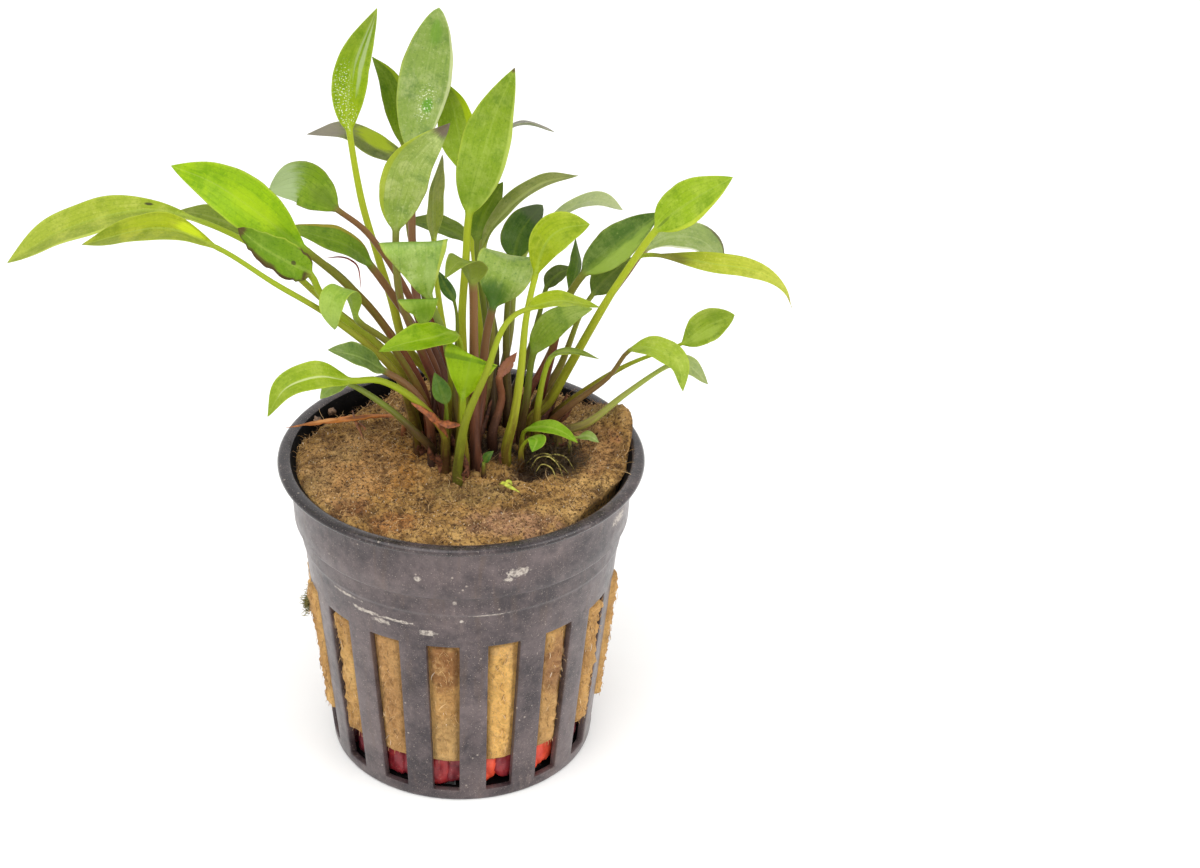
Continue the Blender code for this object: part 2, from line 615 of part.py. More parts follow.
def make_front_leaves(plant):
    make_leaf(plant, "leaf_front_left_arched", BRIGHT_GREEN, (-2.4, -6.0),
              [(-2.8, -7.2, 58), (-7, -9, 64.3), (-11.5, -11, 68.3)],
              [(-15.5, -13, 69.4), (-20, -15, 71.2), (-24.5, -17, 70.4), (-27, -18, 66.5)], 4.9, 0.65,
              (0.1, -0.45, 0.9))
    make_leaf(plant, "leaf_front_left_small", PALE_GREEN, (-4.4, -4.6),
              [(-6.3, -7.4, 57.2), (-10.5, -9.4, 62.9)],
              [(-16, -11.2, 68), (-18.2, -12.3, 68), (-20, -13, 66.5)], 2.9, 0.6, (0, -0.5, 0.85))
    make_leaf(plant, "leaf_front_left_grey", SHEEN_GREEN, (-4.4, -2.7),
              [(-5, -5.5, 60), (-7.6, -6.8, 65)],
              [(-11, -8, 68.2), (-14.5, -9.8, 71.4), (-18.7, -12, 73.8)], 4.8, 0.7, (0, -0.4, 0.9))


def make_right_leaves(plant):
    make_leaf(plant, "leaf_arched_right", OLIVE_GREEN, (2.4, 3.2),
              [(4.1, 7, 58.4), (4.6, 10, 68)],
              [(3.4, 13, 77.5), (6.4, 15, 82.5), (11.7, 15, 87.1), (17.2, 13, 89.3)], 4.2, 0.55,
              (-0.3, 0.3, 0.9))
    make_leaf(plant, "leaf_back_pale", PALE_GREEN, (5.2, 10.4),
              [(7.4, 16, 61), (8.6, 21, 69)],
              [(12.2, 26, 74.4), (17, 28, 77), (21, 28, 78.3), (24.9, 26, 77.7)], 4.4, 0.5, (0, 0.35, 0.93),
              widest=0.6)
    make_leaf(plant, "leaf_back_round", DARK_GREEN, (7.0, 7.4),
              [(6.8, 12.6, 62.2), (7.2, 16, 69)],
              [(8, 18, 73.4), (9.3, 20.5, 76.9), (12.4, 22, 80.4)], 5.8, 0.55, (-0.4, -0.8, 0.5), blunt=0.65)
    make_leaf(plant, "leaf_right_yellow", BRIGHT_GREEN, (6.6, -3.6),
              [(7.7, -3.6, 58.2), (8.7, -1.6, 64.9), (9.4, 0.2, 72.2)],
              [(10.7, 1.4, 78.6), (12.1, 2.4, 83.2), (14.5, 3.4, 85.2), (18.6, 4.4, 85.5)], 5.6, 0.6,
              (0, -0.8, 0.6), widest=0.55)
    make_leaf(plant, "leaf_right_long", BRIGHT_GREEN, (10.4, 4.4),
              [(13, 5.2, 55.4), (15.8, 4.9, 61.2), (20.6, 3.6, 72), (23.4, 2.8, 77.7)],
              [(28, 1, 86.3), (32.5, 0, 91.1), (38.3, -1, 95.4)], 6.4, 0.7, (-0.2, -0.8, 0.6))
    make_leaf(plant, "leaf_right_dark", DARK_GREEN, (11.6, 8.0),
              [(13.4, 10, 60), (15.5, 11.5, 68.5)],
              [(18.3, 12.5, 73.4), (22.3, 13.2, 77), (26.2, 14, 80.1), (29.7, 14, 82.9)], 6.0, 0.75,
              (-0.3, -0.8, 0.6))
    make_leaf(plant, "leaf_right_grey", PALE_GREEN, (13.5, 8.8),
              [(16, 9, 59), (20.8, 8.6, 69.2), (24.5, 8, 75.6)],
              [(27, 8, 79.4), (30.4, 8, 81.6), (34.4, 8, 81.5), (36.9, 7, 80.2), (38.5, 6, 77.8)], 5.2, 0.5,
              (0.05, -0.5, 0.85), widest=0.55)
    make_leaf(plant, "leaf_far_right", BRIGHT_GREEN, (11.4, 5.9),
              [(13.1, 7.2, 54.6), (15.8, 6.9, 60.1), (20.8, 5.6, 71), (24, 4.6, 77.8), (25.6, 3.8, 80.4)],
              [(27.4, 3.2, 81.2), (31.3, 2.8, 80.9), (36.8, 1.6, 80.4), (41.2, 0.8, 80.1), (44.6, 0, 79.1),
               (46.9, -0.8, 77.3), (48, -1.4, 74.9)], 4.0, 0.45, (0.1, -0.45, 0.9), widest=0.48, blunt=1.3)
    make_leaf(plant, "leaf_right_spoon", BRIGHT_GREEN, (14.2, 5.4),
              [(19.2, 3.5, 59), (25, 2.8, 63.4)],
              [(32.6, 2, 67.2), (36.2, 2, 70.1), (40, 1, 72.5)], 5.0, 0.32, (-0.1, -0.8, 0.6), widest=0.5,
              blunt=0.7)
    make_leaf(plant, "leaf_right_drooping", BRIGHT_GREEN, (13.4, 3.0),
              [(16.5, 1, 57.6), (21.6, 0, 62.6)],
              [(24.6, -1, 67.7), (28.1, -3, 69), (31.3, -5, 67.6), (32.1, -7, 64.2)], 5.0, 0.48,
              (0.3, -0.4, 0.85))
    make_leaf(plant, "leaf_right_small", PALE_GREEN, (14.6, 0.4),
              [(19.1, -0.8, 55.6), (24.2, -0.4, 60)],
              [(30.3, 0, 64.5), (33.2, 0, 64.7), (36.4, -1, 62)], 3.2, 0.5, (0.3, -0.5, 0.8))
    make_leaf(plant, "leaf_right_level", BRIGHT_GREEN, (-0.6, -9.0),
              [(0.6, -10.4, 61.4), (3.5, -11, 69.5), (5.4, -10.4, 75.3), (7.2, -8.6, 77.2)],
              [(9.6, -6.4, 77.4), (14.1, -4.2, 77.4), (20, -3, 75.8)], 5.0, 0.55, (0, 0, 1))
    make_leaf(plant, "leaf_right_inner", DARK_GREEN, (8.8, 1.6),
              [(9.6, 1.2, 58)],
              [(10.6, 2, 65.6), (13, 2.4, 69.5), (16, 2.6, 71.7), (19.2, 2.4, 72.8)], 4.6, 0.7, (-0.3, -0.7, 0.6))
    make_leaf(plant, "leaf_right_narrow", BRIGHT_GREEN, (11.2, 1.4),
              [(11.4, 0.8, 58)],
              [(13, 0.6, 65.4), (16.2, 0.6, 66.6), (20.3, 0.6, 65.4)], 1.9, 0.6, (0, -0.1, 1))
    make_leaf(plant, "leaf_right_edgewise", DARK_GREEN, (9.2, 8.8),
              [(12.6, 12.8, 57.8), (15, 14.6, 62.9)],
              [(16.6, 15.8, 68.2), (17.7, 16.8, 73.1), (17.3, 17.4, 77)], 4.2, 0.5, (-0.9, -0.4, 0.1))
    make_leaf(plant, "leaf_back_right", DARK_GREEN, (7.4, 10.0),
              [(10.3, 14.6, 58.8), (12, 17.2, 64.4)],
              [(13, 18.6, 68), (14.9, 19.4, 70), (17.2, 20, 70.8)], 3.2, 0.5, (0, -0.4, 0.9))
    make_leaf(plant, "leaf_right_tucked", OLIVE_GREEN, (11.4, 10.0),
              [(15, 12.6, 57.4), (18, 14.6, 65.2)],
              [(20, 15.5, 68.5), (22.6, 16.5, 71.2), (25.8, 17, 74)], 4.8, 0.5, (-0.3, -0.8, 0.6))


def make_shoots(plant):
    make_leaf(plant, "shoot_bright", BRIGHT_GREEN, (9.0, -1.2), [],
              [(9.6, -2, 54.9), (12.4, -3, 55.9), (14.9, -4, 55.6), (17.1, -5, 54.4)], 2.8, 0.4,
              (0, -0.3, 0.95), foot_radius=0.65)
    make_leaf(plant, "shoot_front", BRIGHT_GREEN, (8.8, -4.2), [],
              [(10, -4.8, 55), (11, -6, 55.4), (10.3, -7.6, 54.4)], 2.8, 0.35, (0, -0.6, 0.8),
              foot_radius=0.6)
    make_leaf(plant, "shoot_pale", PALE_GREEN, (16.2, -1.0), [],
              [(17.4, -1.4, 53.2), (18.9, -1.8, 53.6), (20.4, -2.2, 52.8)], 1.9, 0.3, (0, -0.3, 0.95),
              foot_radius=0.5)
    make_leaf(plant, "shoot_tiny", DARK_GREEN, (3.2, -7.8), [],
              [(3.3, -7.6, 52.6), (3.8, -7.8, 53.9), (4.6, -8, 54.8)], 1.3, 0.3, (0, -0.8, 0.6),
              foot_radius=0.45)


def make_dead_parts(plant):
    make_leaf(plant, "old_stalk", DRY_BROWN, (4.6, 0.8),
              [(6, 3.6, 57)],
              [(5.6, 3.4, 60.7), (6.9, 3, 63.3), (8.2, 2.6, 65.5)], 2.0, 0.7, (0, -0.9, 0.4), cup=0.5)
    make_leaf(plant, "dried_leaf", DRY_BROWN, (-8.8, 4.9), [],
              [(-11, 6, 52.8), (-17, 6.2, 52.2), (-22, 5.6, 51.8), (-26.6, 5, 51.3)], 2.0, 0.4,
              (0, 0, 1), cup=0.0, foot_radius=0.5)


def main():
    clear_scene()
    plant = make_collection("potted_cryptocoryne")
    cutters = make_collection("cutters")
    make_pot(plant, cutters)
    make_plug(plant)
    make_gravel(plant)
    make_left_leaves(plant)
    make_tall_leaves(plant)
    make_centre_leaves(plant)
    make_front_leaves(plant)
    make_right_leaves(plant)
    make_shoots(plant)
    make_dead_parts(plant)


main()
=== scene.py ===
# Looks of the potted cryptocoryne: fine leaves, fibrous rockwool, the slotted pot and its clay lumps.
# Places and sizes are in millimetres in the part's own frame, and mm turns them into metres.
import math

import bmesh
import bpy
import numpy as np
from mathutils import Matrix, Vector, noise


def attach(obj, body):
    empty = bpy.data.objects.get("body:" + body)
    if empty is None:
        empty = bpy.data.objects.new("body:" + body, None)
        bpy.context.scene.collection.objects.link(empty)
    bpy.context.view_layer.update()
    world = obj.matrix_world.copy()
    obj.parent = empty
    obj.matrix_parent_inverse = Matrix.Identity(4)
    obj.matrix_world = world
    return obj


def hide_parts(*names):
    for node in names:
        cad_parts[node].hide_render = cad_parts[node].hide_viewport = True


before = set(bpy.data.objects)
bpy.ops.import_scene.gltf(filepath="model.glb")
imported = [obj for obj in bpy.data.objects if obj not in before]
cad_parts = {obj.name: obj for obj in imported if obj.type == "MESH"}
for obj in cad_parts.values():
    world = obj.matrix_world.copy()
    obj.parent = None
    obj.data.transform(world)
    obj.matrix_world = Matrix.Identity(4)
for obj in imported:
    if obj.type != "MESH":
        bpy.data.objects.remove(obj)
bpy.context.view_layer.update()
mm = 0.001


# Small helpers for shader nodes

def colour(red, green, blue):
    # sRGB from 0 to 255, turned into the linear colour that shaders take
    parts = [part / 255 for part in (red, green, blue)]
    return tuple(p / 12.92 if p < 0.0405 else ((p + 0.055) / 1.055) ** 2.4 for p in parts) + (1.0,)


# A socket takes a link, a plain value or, where it holds a colour, its three sRGB parts
def feed(tree, socket, value):
    if isinstance(value, bpy.types.NodeSocket):
        tree.links.new(value, socket)
    elif socket.type == "RGBA" and len(value) == 3:
        socket.default_value = colour(*value)
    else:
        socket.default_value = value


def addNode(tree, kind, inputs=None, **settings):
    made = tree.nodes.new("ShaderNode" + kind)
    for key, value in settings.items():
        setattr(made, key, value)
    for key, value in (inputs or {}).items():
        feed(tree, made.inputs[key], value)
    return made


def calc(tree, operation, first, second=0.0):
    return addNode(tree, "Math", {0: first, 1: second}, operation=operation).outputs[0]


def times(tree, first, second):
    return calc(tree, "MULTIPLY", first, second)


def plus(tree, first, second):
    return calc(tree, "ADD", first, second)


def vectorCalc(tree, operation, first, second):
    return addNode(tree, "VectorMath", {0: first, 1: second}, operation=operation).outputs[0]


def smooth(tree, value, low, high, outLow=0.0, outHigh=1.0):
    made = addNode(tree, "MapRange", {0: value, 1: low, 2: high, 3: outLow, 4: outHigh},
                   interpolation_type="SMOOTHSTEP")
    return made.outputs[0]


def blend(tree, share, under, over, mode="MIX"):
    made = addNode(tree, "Mix", {0: share, 6: under, 7: over}, data_type="RGBA", blend_type=mode)
    return made.outputs[2]


def ramp(tree, value, stops):
    made = addNode(tree, "ValToRGB", {0: value})
    elements = made.color_ramp.elements
    elements.remove(elements[1])
    elements[0].position = stops[0][0]
    elements[0].color = colour(*stops[0][1])
    for position, shade in stops[1:]:
        elements.new(position).color = colour(*shade)
    return made.outputs[0]


def grain(tree, place, scale, detail=3.0, roughness=0.55, distortion=0.0):
    made = addNode(tree, "TexNoise", {"Vector": place, "Scale": scale, "Detail": detail,
                                      "Roughness": roughness, "Distortion": distortion})
    return made.outputs[0]


def placeInMm(tree, stretch=(1, 1, 1)):
    coords = addNode(tree, "TexCoord").outputs["Object"]
    return addNode(tree, "Mapping", {"Vector": coords, "Scale": [s / mm for s in stretch]}).outputs[0]


def attribute(tree, name, output="Vector"):
    return addNode(tree, "Attribute", attribute_name=name).outputs[output]


def splitParts(tree, vector):
    return addNode(tree, "SeparateXYZ", {0: vector}).outputs


# 1 inside an ellipsoid round a place, fading over a ragged edge
def patch(tree, place, centre, radii, ragged=0.6, fineness=0.9, soft=0.3):
    away = vectorCalc(tree, "DIVIDE", vectorCalc(tree, "SUBTRACT", place, centre), radii)
    far = addNode(tree, "VectorMath", {0: away}, operation="LENGTH").outputs["Value"]
    broken = times(tree, calc(tree, "SUBTRACT", grain(tree, place, fineness), 0.5), ragged * 2)
    return smooth(tree, plus(tree, far, broken), 1.0 + soft, 1.0 - soft)


# Lays patches over a shade: each has a middle, radii, a tint and how strong it is
def paintPatches(tree, place, shade, patches, ragged=0.6, fineness=0.9, soft=0.3):
    for centre, radii, tint, amount in patches:
        spot = patch(tree, place, centre, radii, ragged, fineness, soft)
        shade = blend(tree, times(tree, spot, amount), shade, tint)
    return shade


def newMaterial(name, **settings):
    material = bpy.data.materials.new(name)
    material.use_nodes = True
    tree = material.node_tree
    shader = tree.nodes["Principled BSDF"]
    for key, value in settings.items():
        shader.inputs[key.replace("_", " ")].default_value = value
    return material, tree, shader


# Links a skin's colour, its bumps and, where it varies, its roughness
def finishSkin(tree, shader, shade, height, distance, strength, rough=None):
    bumps = addNode(tree, "Bump", {"Height": height, "Distance": distance * mm, "Strength": strength})
    feed(tree, shader.inputs["Normal"], bumps.outputs[0])
    feed(tree, shader.inputs["Base Color"], shade)
    if rough is not None:
        feed(tree, shader.inputs["Roughness"], rough)


# Small helpers for meshes

def makePiece(name, points, faces, material, attributes=None, nodes=()):
    mesh = bpy.data.meshes.new(name)
    mesh.from_pydata((np.asarray(points) * mm).tolist(), [], [tuple(face) for face in faces])
    for key, values in (attributes or {}).items():
        kind = "FLOAT_VECTOR" if np.ndim(values) == 2 else "FLOAT"
        made = mesh.attributes.new(key, kind, "POINT")
        made.data.foreach_set("vector" if kind == "FLOAT_VECTOR" else "value",
                              np.asarray(values, np.float32).ravel())
    mesh.shade_smooth()
    mesh.materials.append(material)
    piece = bpy.data.objects.new(name, mesh)
    bpy.context.scene.collection.objects.link(piece)
    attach(piece, "root")
    if nodes:
        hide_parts(*nodes)
    return piece


# Faces of a grid of rows, each a closed ring of that many points, with a face over each end
def ringFaces(rows, count):
    faces = []
    for row in range(rows - 1):
        for k in range(count):
            a = row * count + k
            b = row * count + (k + 1) % count
            faces.append((a, a + count, b + count, b))
    faces.append(tuple(range(count)))
    faces.append(tuple(reversed(range((rows - 1) * count, rows * count))))
    return faces


def held(share):
    return min(1.0, max(0.0, share))


def eased(share):
    return share * share * (3 - 2 * share)


def unitRows(rows):
    return rows / np.linalg.norm(rows, axis=1, keepdims=True)


spanSteps = 16


# A Catmull-Rom curve through the given points, as an array of close points
def smoothPath(points, perSpan=spanSteps):
    given = [np.array(p, float) for p in points]
    ends = [given[0] * 2 - given[1]] + given + [given[-1] * 2 - given[-2]]
    path = []
    for i in range(1, len(ends) - 2):
        p0, p1, p2, p3 = ends[i - 1:i + 3]
        for step in range(perSpan):
            t = step / perSpan
            path.append(0.5 * (2 * p1 + (p2 - p0) * t + (2 * p0 - 5 * p1 + 4 * p2 - p3) * t * t
                               + (3 * p1 - p0 - 3 * p2 + p3) * t ** 3))
    path.append(given[-1])
    return np.array(path)


def lengthsAlong(path):
    return np.concatenate([[0.0], np.cumsum(np.linalg.norm(np.diff(path, axis=0), axis=1))])


def pointsAt(path, run, distances):
    return np.stack([np.interp(distances, run, path[:, axis]) for axis in range(3)], axis=1)


# Directions across and up at each place, carried along the tangents without twisting
def carriedFrames(along, start, face):
    ups = [None] * len(along)
    first = Vector(along[start])
    ups[start] = (Vector(face) - first * first.dot(Vector(face))).normalized()
    for order in (range(start + 1, len(along)), range(start - 1, -1, -1)):
        step = order.step
        for i in order:
            turn = Vector(along[i - step]).rotation_difference(Vector(along[i]))
            ups[i] = turn @ ups[i - step]
    across = [Vector(a).cross(up).normalized() for a, up in zip(along, ups)]
    return np.array(across), np.array([list(up) for up in ups])


# The photograph's camera and plain light

studio = {
    "cameraPlace": (0.0, -309.97, 234.3),
    "cameraTurnDeg": (59.715, -1.466, -2.962),
    "lens": 72.0,
    "sensor": 36.0,
    "nearestSeen": 0.01,
    "skyLight": 1.03,
    "floorShades": ((246, 245, 243), (250, 250, 249)),
    "floorReach": 2500.0,
    "floorHeight": -0.02,
    "keyPower": 5.8,
    "keySize": 950.0,
    "keyPlace": (-350.0, -450.0, 900.0),
    "fillPower": 2.5,
    "fillSize": 600.0,
    "fillPlace": (600.0, -300.0, 500.0),
    "aim": (0.0, 0.0, 30.0),
}


def addArea(name, place, size, power):
    light = bpy.data.lights.new(name, "AREA")
    light.size = size * mm
    light.energy = power
    holder = bpy.data.objects.new(name, light)
    bpy.context.scene.collection.objects.link(holder)
    holder.location = Vector(place) * mm
    holder.rotation_euler = (Vector(studio["aim"]) * mm - holder.location).to_track_quat("-Z", "Y").to_euler()


def makeFloor():
    reach, height = studio["floorReach"] * mm, studio["floorHeight"] * mm
    mesh = bpy.data.meshes.new("studio_floor")
    corners = [(x * reach, y * reach, height) for x, y in ((-1, -1), (1, -1), (1, 1), (-1, 1))]
    mesh.from_pydata(corners, [], [(0, 1, 2, 3)])
    material, tree, shader = newMaterial("studio_floor", Roughness=0.6)
    darker, lighter = studio["floorShades"]
    tint = ramp(tree, grain(tree, placeInMm(tree), 0.02), [(0.3, darker), (0.7, lighter)])
    feed(tree, shader.inputs["Base Color"], tint)
    mesh.materials.append(material)
    floor = bpy.data.objects.new("studio_floor", mesh)
    bpy.context.scene.collection.objects.link(floor)


def makeStudio():
    lens = bpy.data.cameras.new("camera")
    lens.lens = studio["lens"]
    lens.sensor_width = studio["sensor"]
    lens.clip_start = studio["nearestSeen"]
    camera = bpy.data.objects.new("camera", lens)
    bpy.context.scene.collection.objects.link(camera)
    camera.location = Vector(studio["cameraPlace"]) * mm
    camera.rotation_euler = [math.radians(turn) for turn in studio["cameraTurnDeg"]]
    bpy.context.scene.camera = camera

    world = bpy.data.worlds.new("studio")
    world.use_nodes = True
    sky = world.node_tree.nodes["Background"]
    sky.inputs["Color"].default_value = (1, 1, 1, 1)
    sky.inputs["Strength"].default_value = studio["skyLight"]
    bpy.context.scene.world = world
    addArea("key", studio["keyPlace"], studio["keySize"], studio["keyPower"])
    addArea("fill", studio["fillPlace"], studio["fillSize"], studio["fillPower"])
    bpy.context.scene.view_settings.view_transform = "Standard"
    makeFloor()


# The pot: its section and slots, as in the part

pot = {
    "height": 50.0, "lipThickness": 1.1, "lipEdge": (47.9, 48.9),
    "collarRadius": 25.7, "collarFootRadius": 25.3, "shoulderRadius": 24.3, "shoulderHeight": 39.8,
    "bandRadius": 24.0, "bandHeight": 36.6, "baseRadius": 20.4, "wall": 1.1, "floorThickness": 1.5,
    "slotCount": 16, "slotPhaseDeg": 4.1, "slotBottom": 1.9, "slotTop": 30.6,
    "slotWidthBottom": 4.0, "slotWidthTop": 4.95,
    # rings of the floor plate from the outside in: the first and fourth end its slots
    "floorRings": (18.4, 16.0, 13.5, 11.0, 7.0, 3.0), "floorSlotWidth": 2.2,
    "slotRows": 22, "slotColumns": 5, "ribColumns": 6, "edgeRounding": 0.16,
    "plastic": (46, 37, 41), "plasticDusty": (96, 83, 83), "insidePaintedShade": (7, 5, 5), "crumbs": (92, 78, 68),
    "lip": (24, 18, 20), "lime": (190, 180, 168), "brownDust": (92, 72, 58), "dust": (124, 108, 102),
    "specks": (186, 172, 158),
    # dried lime where the water line was: middle, radii, how ragged and how fine
    "limeMarks": (
        ((7.9, -24.3, 44.3), (1.5, 1.5, 0.7), 1.1, 2.2), ((6.7, -24.6, 43.3), (0.7, 0.7, 0.4), 1.0, 2.2),
        ((-6.4, -24.6, 43.6), (0.5, 0.6, 0.4), 0.3, 1.5), ((-17.0, -16.8, 35.9), (2.4, 2.4, 0.26), 1.2, 1.2),
        ((-14.3, -19.1, 34.4), (2.2, 2.2, 0.34), 1.3, 1.4), ((-11.8, -20.6, 33.6), (1.3, 1.3, 0.4), 1.2, 1.5),
        ((-9.4, -21.7, 34.4), (2.4, 2.4, 0.22), 1.2, 1.6), ((-5.0, -23.1, 33.1), (1.2, 1.2, 0.45), 1.3, 2.0),
        ((-1.1, -24.3, 39.1), (0.3, 0.5, 0.3), 0.6, 2.0), ((-0.1, -23.9, 35.6), (0.35, 0.5, 0.25), 0.6, 2.0),
        ((4.0, -23.6, 36.6), (2.6, 2.0, 0.16), 1.4, 1.8), ((22.9, -10.2, 45.0), (1.2, 3.0, 0.8), 1.6, 2.4)),
}
slotPitch = math.tau / pot["slotCount"]
columnsPerSlot = pot["slotColumns"] + pot["ribColumns"] - 1


def heading(angle):
    return np.array([math.sin(angle), -math.cos(angle), 0.0])


def placeAt(angle, radius, height):
    return heading(angle) * radius + np.array([0, 0, height])


def slotAngle(index):
    return math.radians(pot["slotPhaseDeg"]) + slotPitch * (index - 2.5)


def outerRadius(height):
    return pot["baseRadius"] + (pot["bandRadius"] - pot["baseRadius"]) * height / pot["bandHeight"]


def innerRadius(height):
    if height <= pot["bandHeight"]:
        return outerRadius(height) - pot["wall"]
    if height <= pot["shoulderHeight"]:
        return pot["bandRadius"] - pot["wall"]
    share = min(1.0, (height - pot["shoulderHeight"]) / 9.0)
    return pot["collarFootRadius"] - pot["wall"] + 0.4 * share


# Outer and inner section of the pot, each from the floor up, with the same number of rows
def potSections():
    base, band, shoulder = pot["baseRadius"], pot["bandRadius"], pot["shoulderRadius"]
    foot, top, floorTop = pot["collarFootRadius"], pot["height"], pot["floorThickness"]
    bandInside = band - pot["wall"]
    lipUnder = top - pot["lipThickness"]
    floorEdge = innerRadius(1.7)
    outer = [(base - 0.35, 0.0), (base - 0.08, 0.12), (outerRadius(0.5), 0.5)]
    inner = [(floorEdge - 0.5, floorTop), (floorEdge - 0.2, floorTop), (floorEdge, 1.65)]
    # the tapered wall, past the slots and up to the band
    for z in [*np.linspace(pot["slotBottom"], pot["slotTop"], pot["slotRows"]), 31.5, 33.0, 34.8, 36.2]:
        outer.append((outerRadius(z), z))
        inner.append((innerRadius(z), z))
    # the shoulder and the collar
    outer += [(band + 0.02, pot["bandHeight"]), (shoulder - 0.06, 36.85), (shoulder, 37.2),
              (shoulder, 39.3), (shoulder + 0.1, pot["shoulderHeight"]), (foot - 0.3, 40.12), (foot, 40.6),
              (25.42, 43.0), (25.56, 46.0), (pot["collarRadius"], 48.2)]
    inner += [(bandInside, 36.8), (bandInside, 37.2), (bandInside, 38.2), (bandInside, 39.2),
              (bandInside + 0.1, 39.9), (24.1, 40.6), (24.22, 41.6), (24.34, 43.6), (24.46, 46.0),
              (24.6, 48.2)]
    # the lip, with a rounded edge
    outer += [(25.85, lipUnder - 0.12), (26.3, lipUnder), (27.0, lipUnder), (27.36, lipUnder + 0.12),
              (27.5, lipUnder + 0.45), (27.46, top - 0.4), (27.2, top - 0.08)]
    inner += [(24.8, 48.7), (25.1, 49.15), (25.35, 49.55), (25.6, 49.82), (25.95, 49.97), (26.4, top),
              (26.85, top)]
    return outer, inner


# Headings of the columns all round, where each slot reaches that angle to either side of its middle
def columnHeadings(half):
    offsets = list(np.linspace(-half, half, pot["slotColumns"]))
    offsets += list(np.linspace(half, slotPitch - half, pot["ribColumns"] + 1))[1:-1]
    return [slotAngle(index) + offset for index in range(pot["slotCount"]) for offset in offsets]


# The same at a height of the wall, where a slot keeps its true width
def wallHeadings(radius, height):
    share = held((height - pot["slotBottom"]) / (pot["slotTop"] - pot["slotBottom"]))
    width = pot["slotWidthBottom"] + (pot["slotWidthTop"] - pot["slotWidthBottom"]) * share
    return columnHeadings(math.asin(width / 2 / radius))


def makePotMaterial():
    material, tree, shader = newMaterial("dusty_grey_plastic", Roughness=0.36, Sheen_Weight=0.05,
                                         Sheen_Roughness=0.3, Specular_IOR_Level=0.36, Coat_Weight=0.22,
                                         Coat_Roughness=0.22)
    place = placeInMm(tree)
    height = splitParts(tree, place)["Z"]
    cloudy = plus(tree, times(tree, grain(tree, place, 0.09, 4.0, 0.6), 0.6),
                  times(tree, grain(tree, place, 0.6, 5.0, 0.7), 0.4))
    shade = ramp(tree, cloudy, [(0.4, pot["plastic"]), (0.62, pot["plasticDusty"])])
    smeared = grain(tree, placeInMm(tree, (1, 1, 0.3)), 0.35, 4.0, 0.7)
    shade = blend(tree, smooth(tree, smeared, 0.58, 0.74, 0.0, 0.4), shade, pot["dust"])
    streaks = grain(tree, placeInMm(tree, (1.2, 1.2, 0.12)), 0.5, 3.0)
    shade = blend(tree, smooth(tree, streaks, 0.52, 0.75, 0.0, 0.35), shade, pot["brownDust"])
    # the lip is wiped clean, so it is darker and glossier than the dusty collar
    onLip = smooth(tree, height, *pot["lipEdge"])
    shade = blend(tree, times(tree, onLip, smooth(tree, cloudy, 0.66, 0.4, 0.35, 0.9)), shade, pot["lip"])
    # fine dust, then small and large pale specks
    dust = grain(tree, place, 2.6, 2.0, 0.7)
    shade = blend(tree, smooth(tree, dust, 0.55, 0.8, 0.0, 0.45), shade, pot["dust"])
    flecks = smooth(tree, grain(tree, place, 5.5, 1.0, 0.5), 0.68, 0.74, 0.0, 0.5)
    shade = blend(tree, flecks, shade, pot["specks"])
    cells = addNode(tree, "TexVoronoi", {"Vector": place, "Scale": 0.55}).outputs["Distance"]
    chosen = smooth(tree, grain(tree, place, 0.22, 2.0), 0.5, 0.62)
    specks = times(tree, smooth(tree, cells, 0.13, 0.04), chosen)
    shade = blend(tree, times(tree, specks, 0.6), shade, pot["specks"])
    # lime, broken up by a finer grain
    marks = [patch(tree, place, *mark) for mark in pot["limeMarks"]]
    lime = marks[0]
    for mark in marks[1:]:
        lime = calc(tree, "MAXIMUM", lime, mark)
    lime = times(tree, lime, smooth(tree, grain(tree, place, 1.8, 4.0, 0.7), 0.38, 0.55, 0.25, 0.85))
    shade = blend(tree, lime, shade, pot["lime"])
    rough = smooth(tree, plus(tree, grain(tree, place, 0.7, 4.0), lime), 0.3, 1.1, 0.34, 0.62)
    rough = times(tree, rough, smooth(tree, height, *pot["lipEdge"], 1.0, 0.6))
    relief = plus(tree, times(tree, grain(tree, place, 3.2, 3.0), 0.35),
                  times(tree, plus(tree, lime, specks), 0.6))
    finishSkin(tree, shader, shade, relief, 0.12, 0.5, rough)
    return material


# The wall inside sees no light: its near-black colour is painted shade, and it has a duller skin of its own
# with crumbs of wool on it
def makeInnerWallMaterial():
    material, tree, shader = newMaterial("shaded_inner_wall", Roughness=0.85, Specular_IOR_Level=0.12)
    place = placeInMm(tree)
    crumbs = smooth(tree, grain(tree, place, 2.6, 2.0, 0.7), 0.62, 0.8, 0.0, 0.4)
    shade = blend(tree, crumbs, pot["insidePaintedShade"], pot["crumbs"])
    rough = smooth(tree, grain(tree, place, 0.9, 3.0), 0.3, 0.7, 0.75, 0.95)
    finishSkin(tree, shader, shade, grain(tree, place, 2.2, 3.0), 0.12, 0.5, rough)
    return material


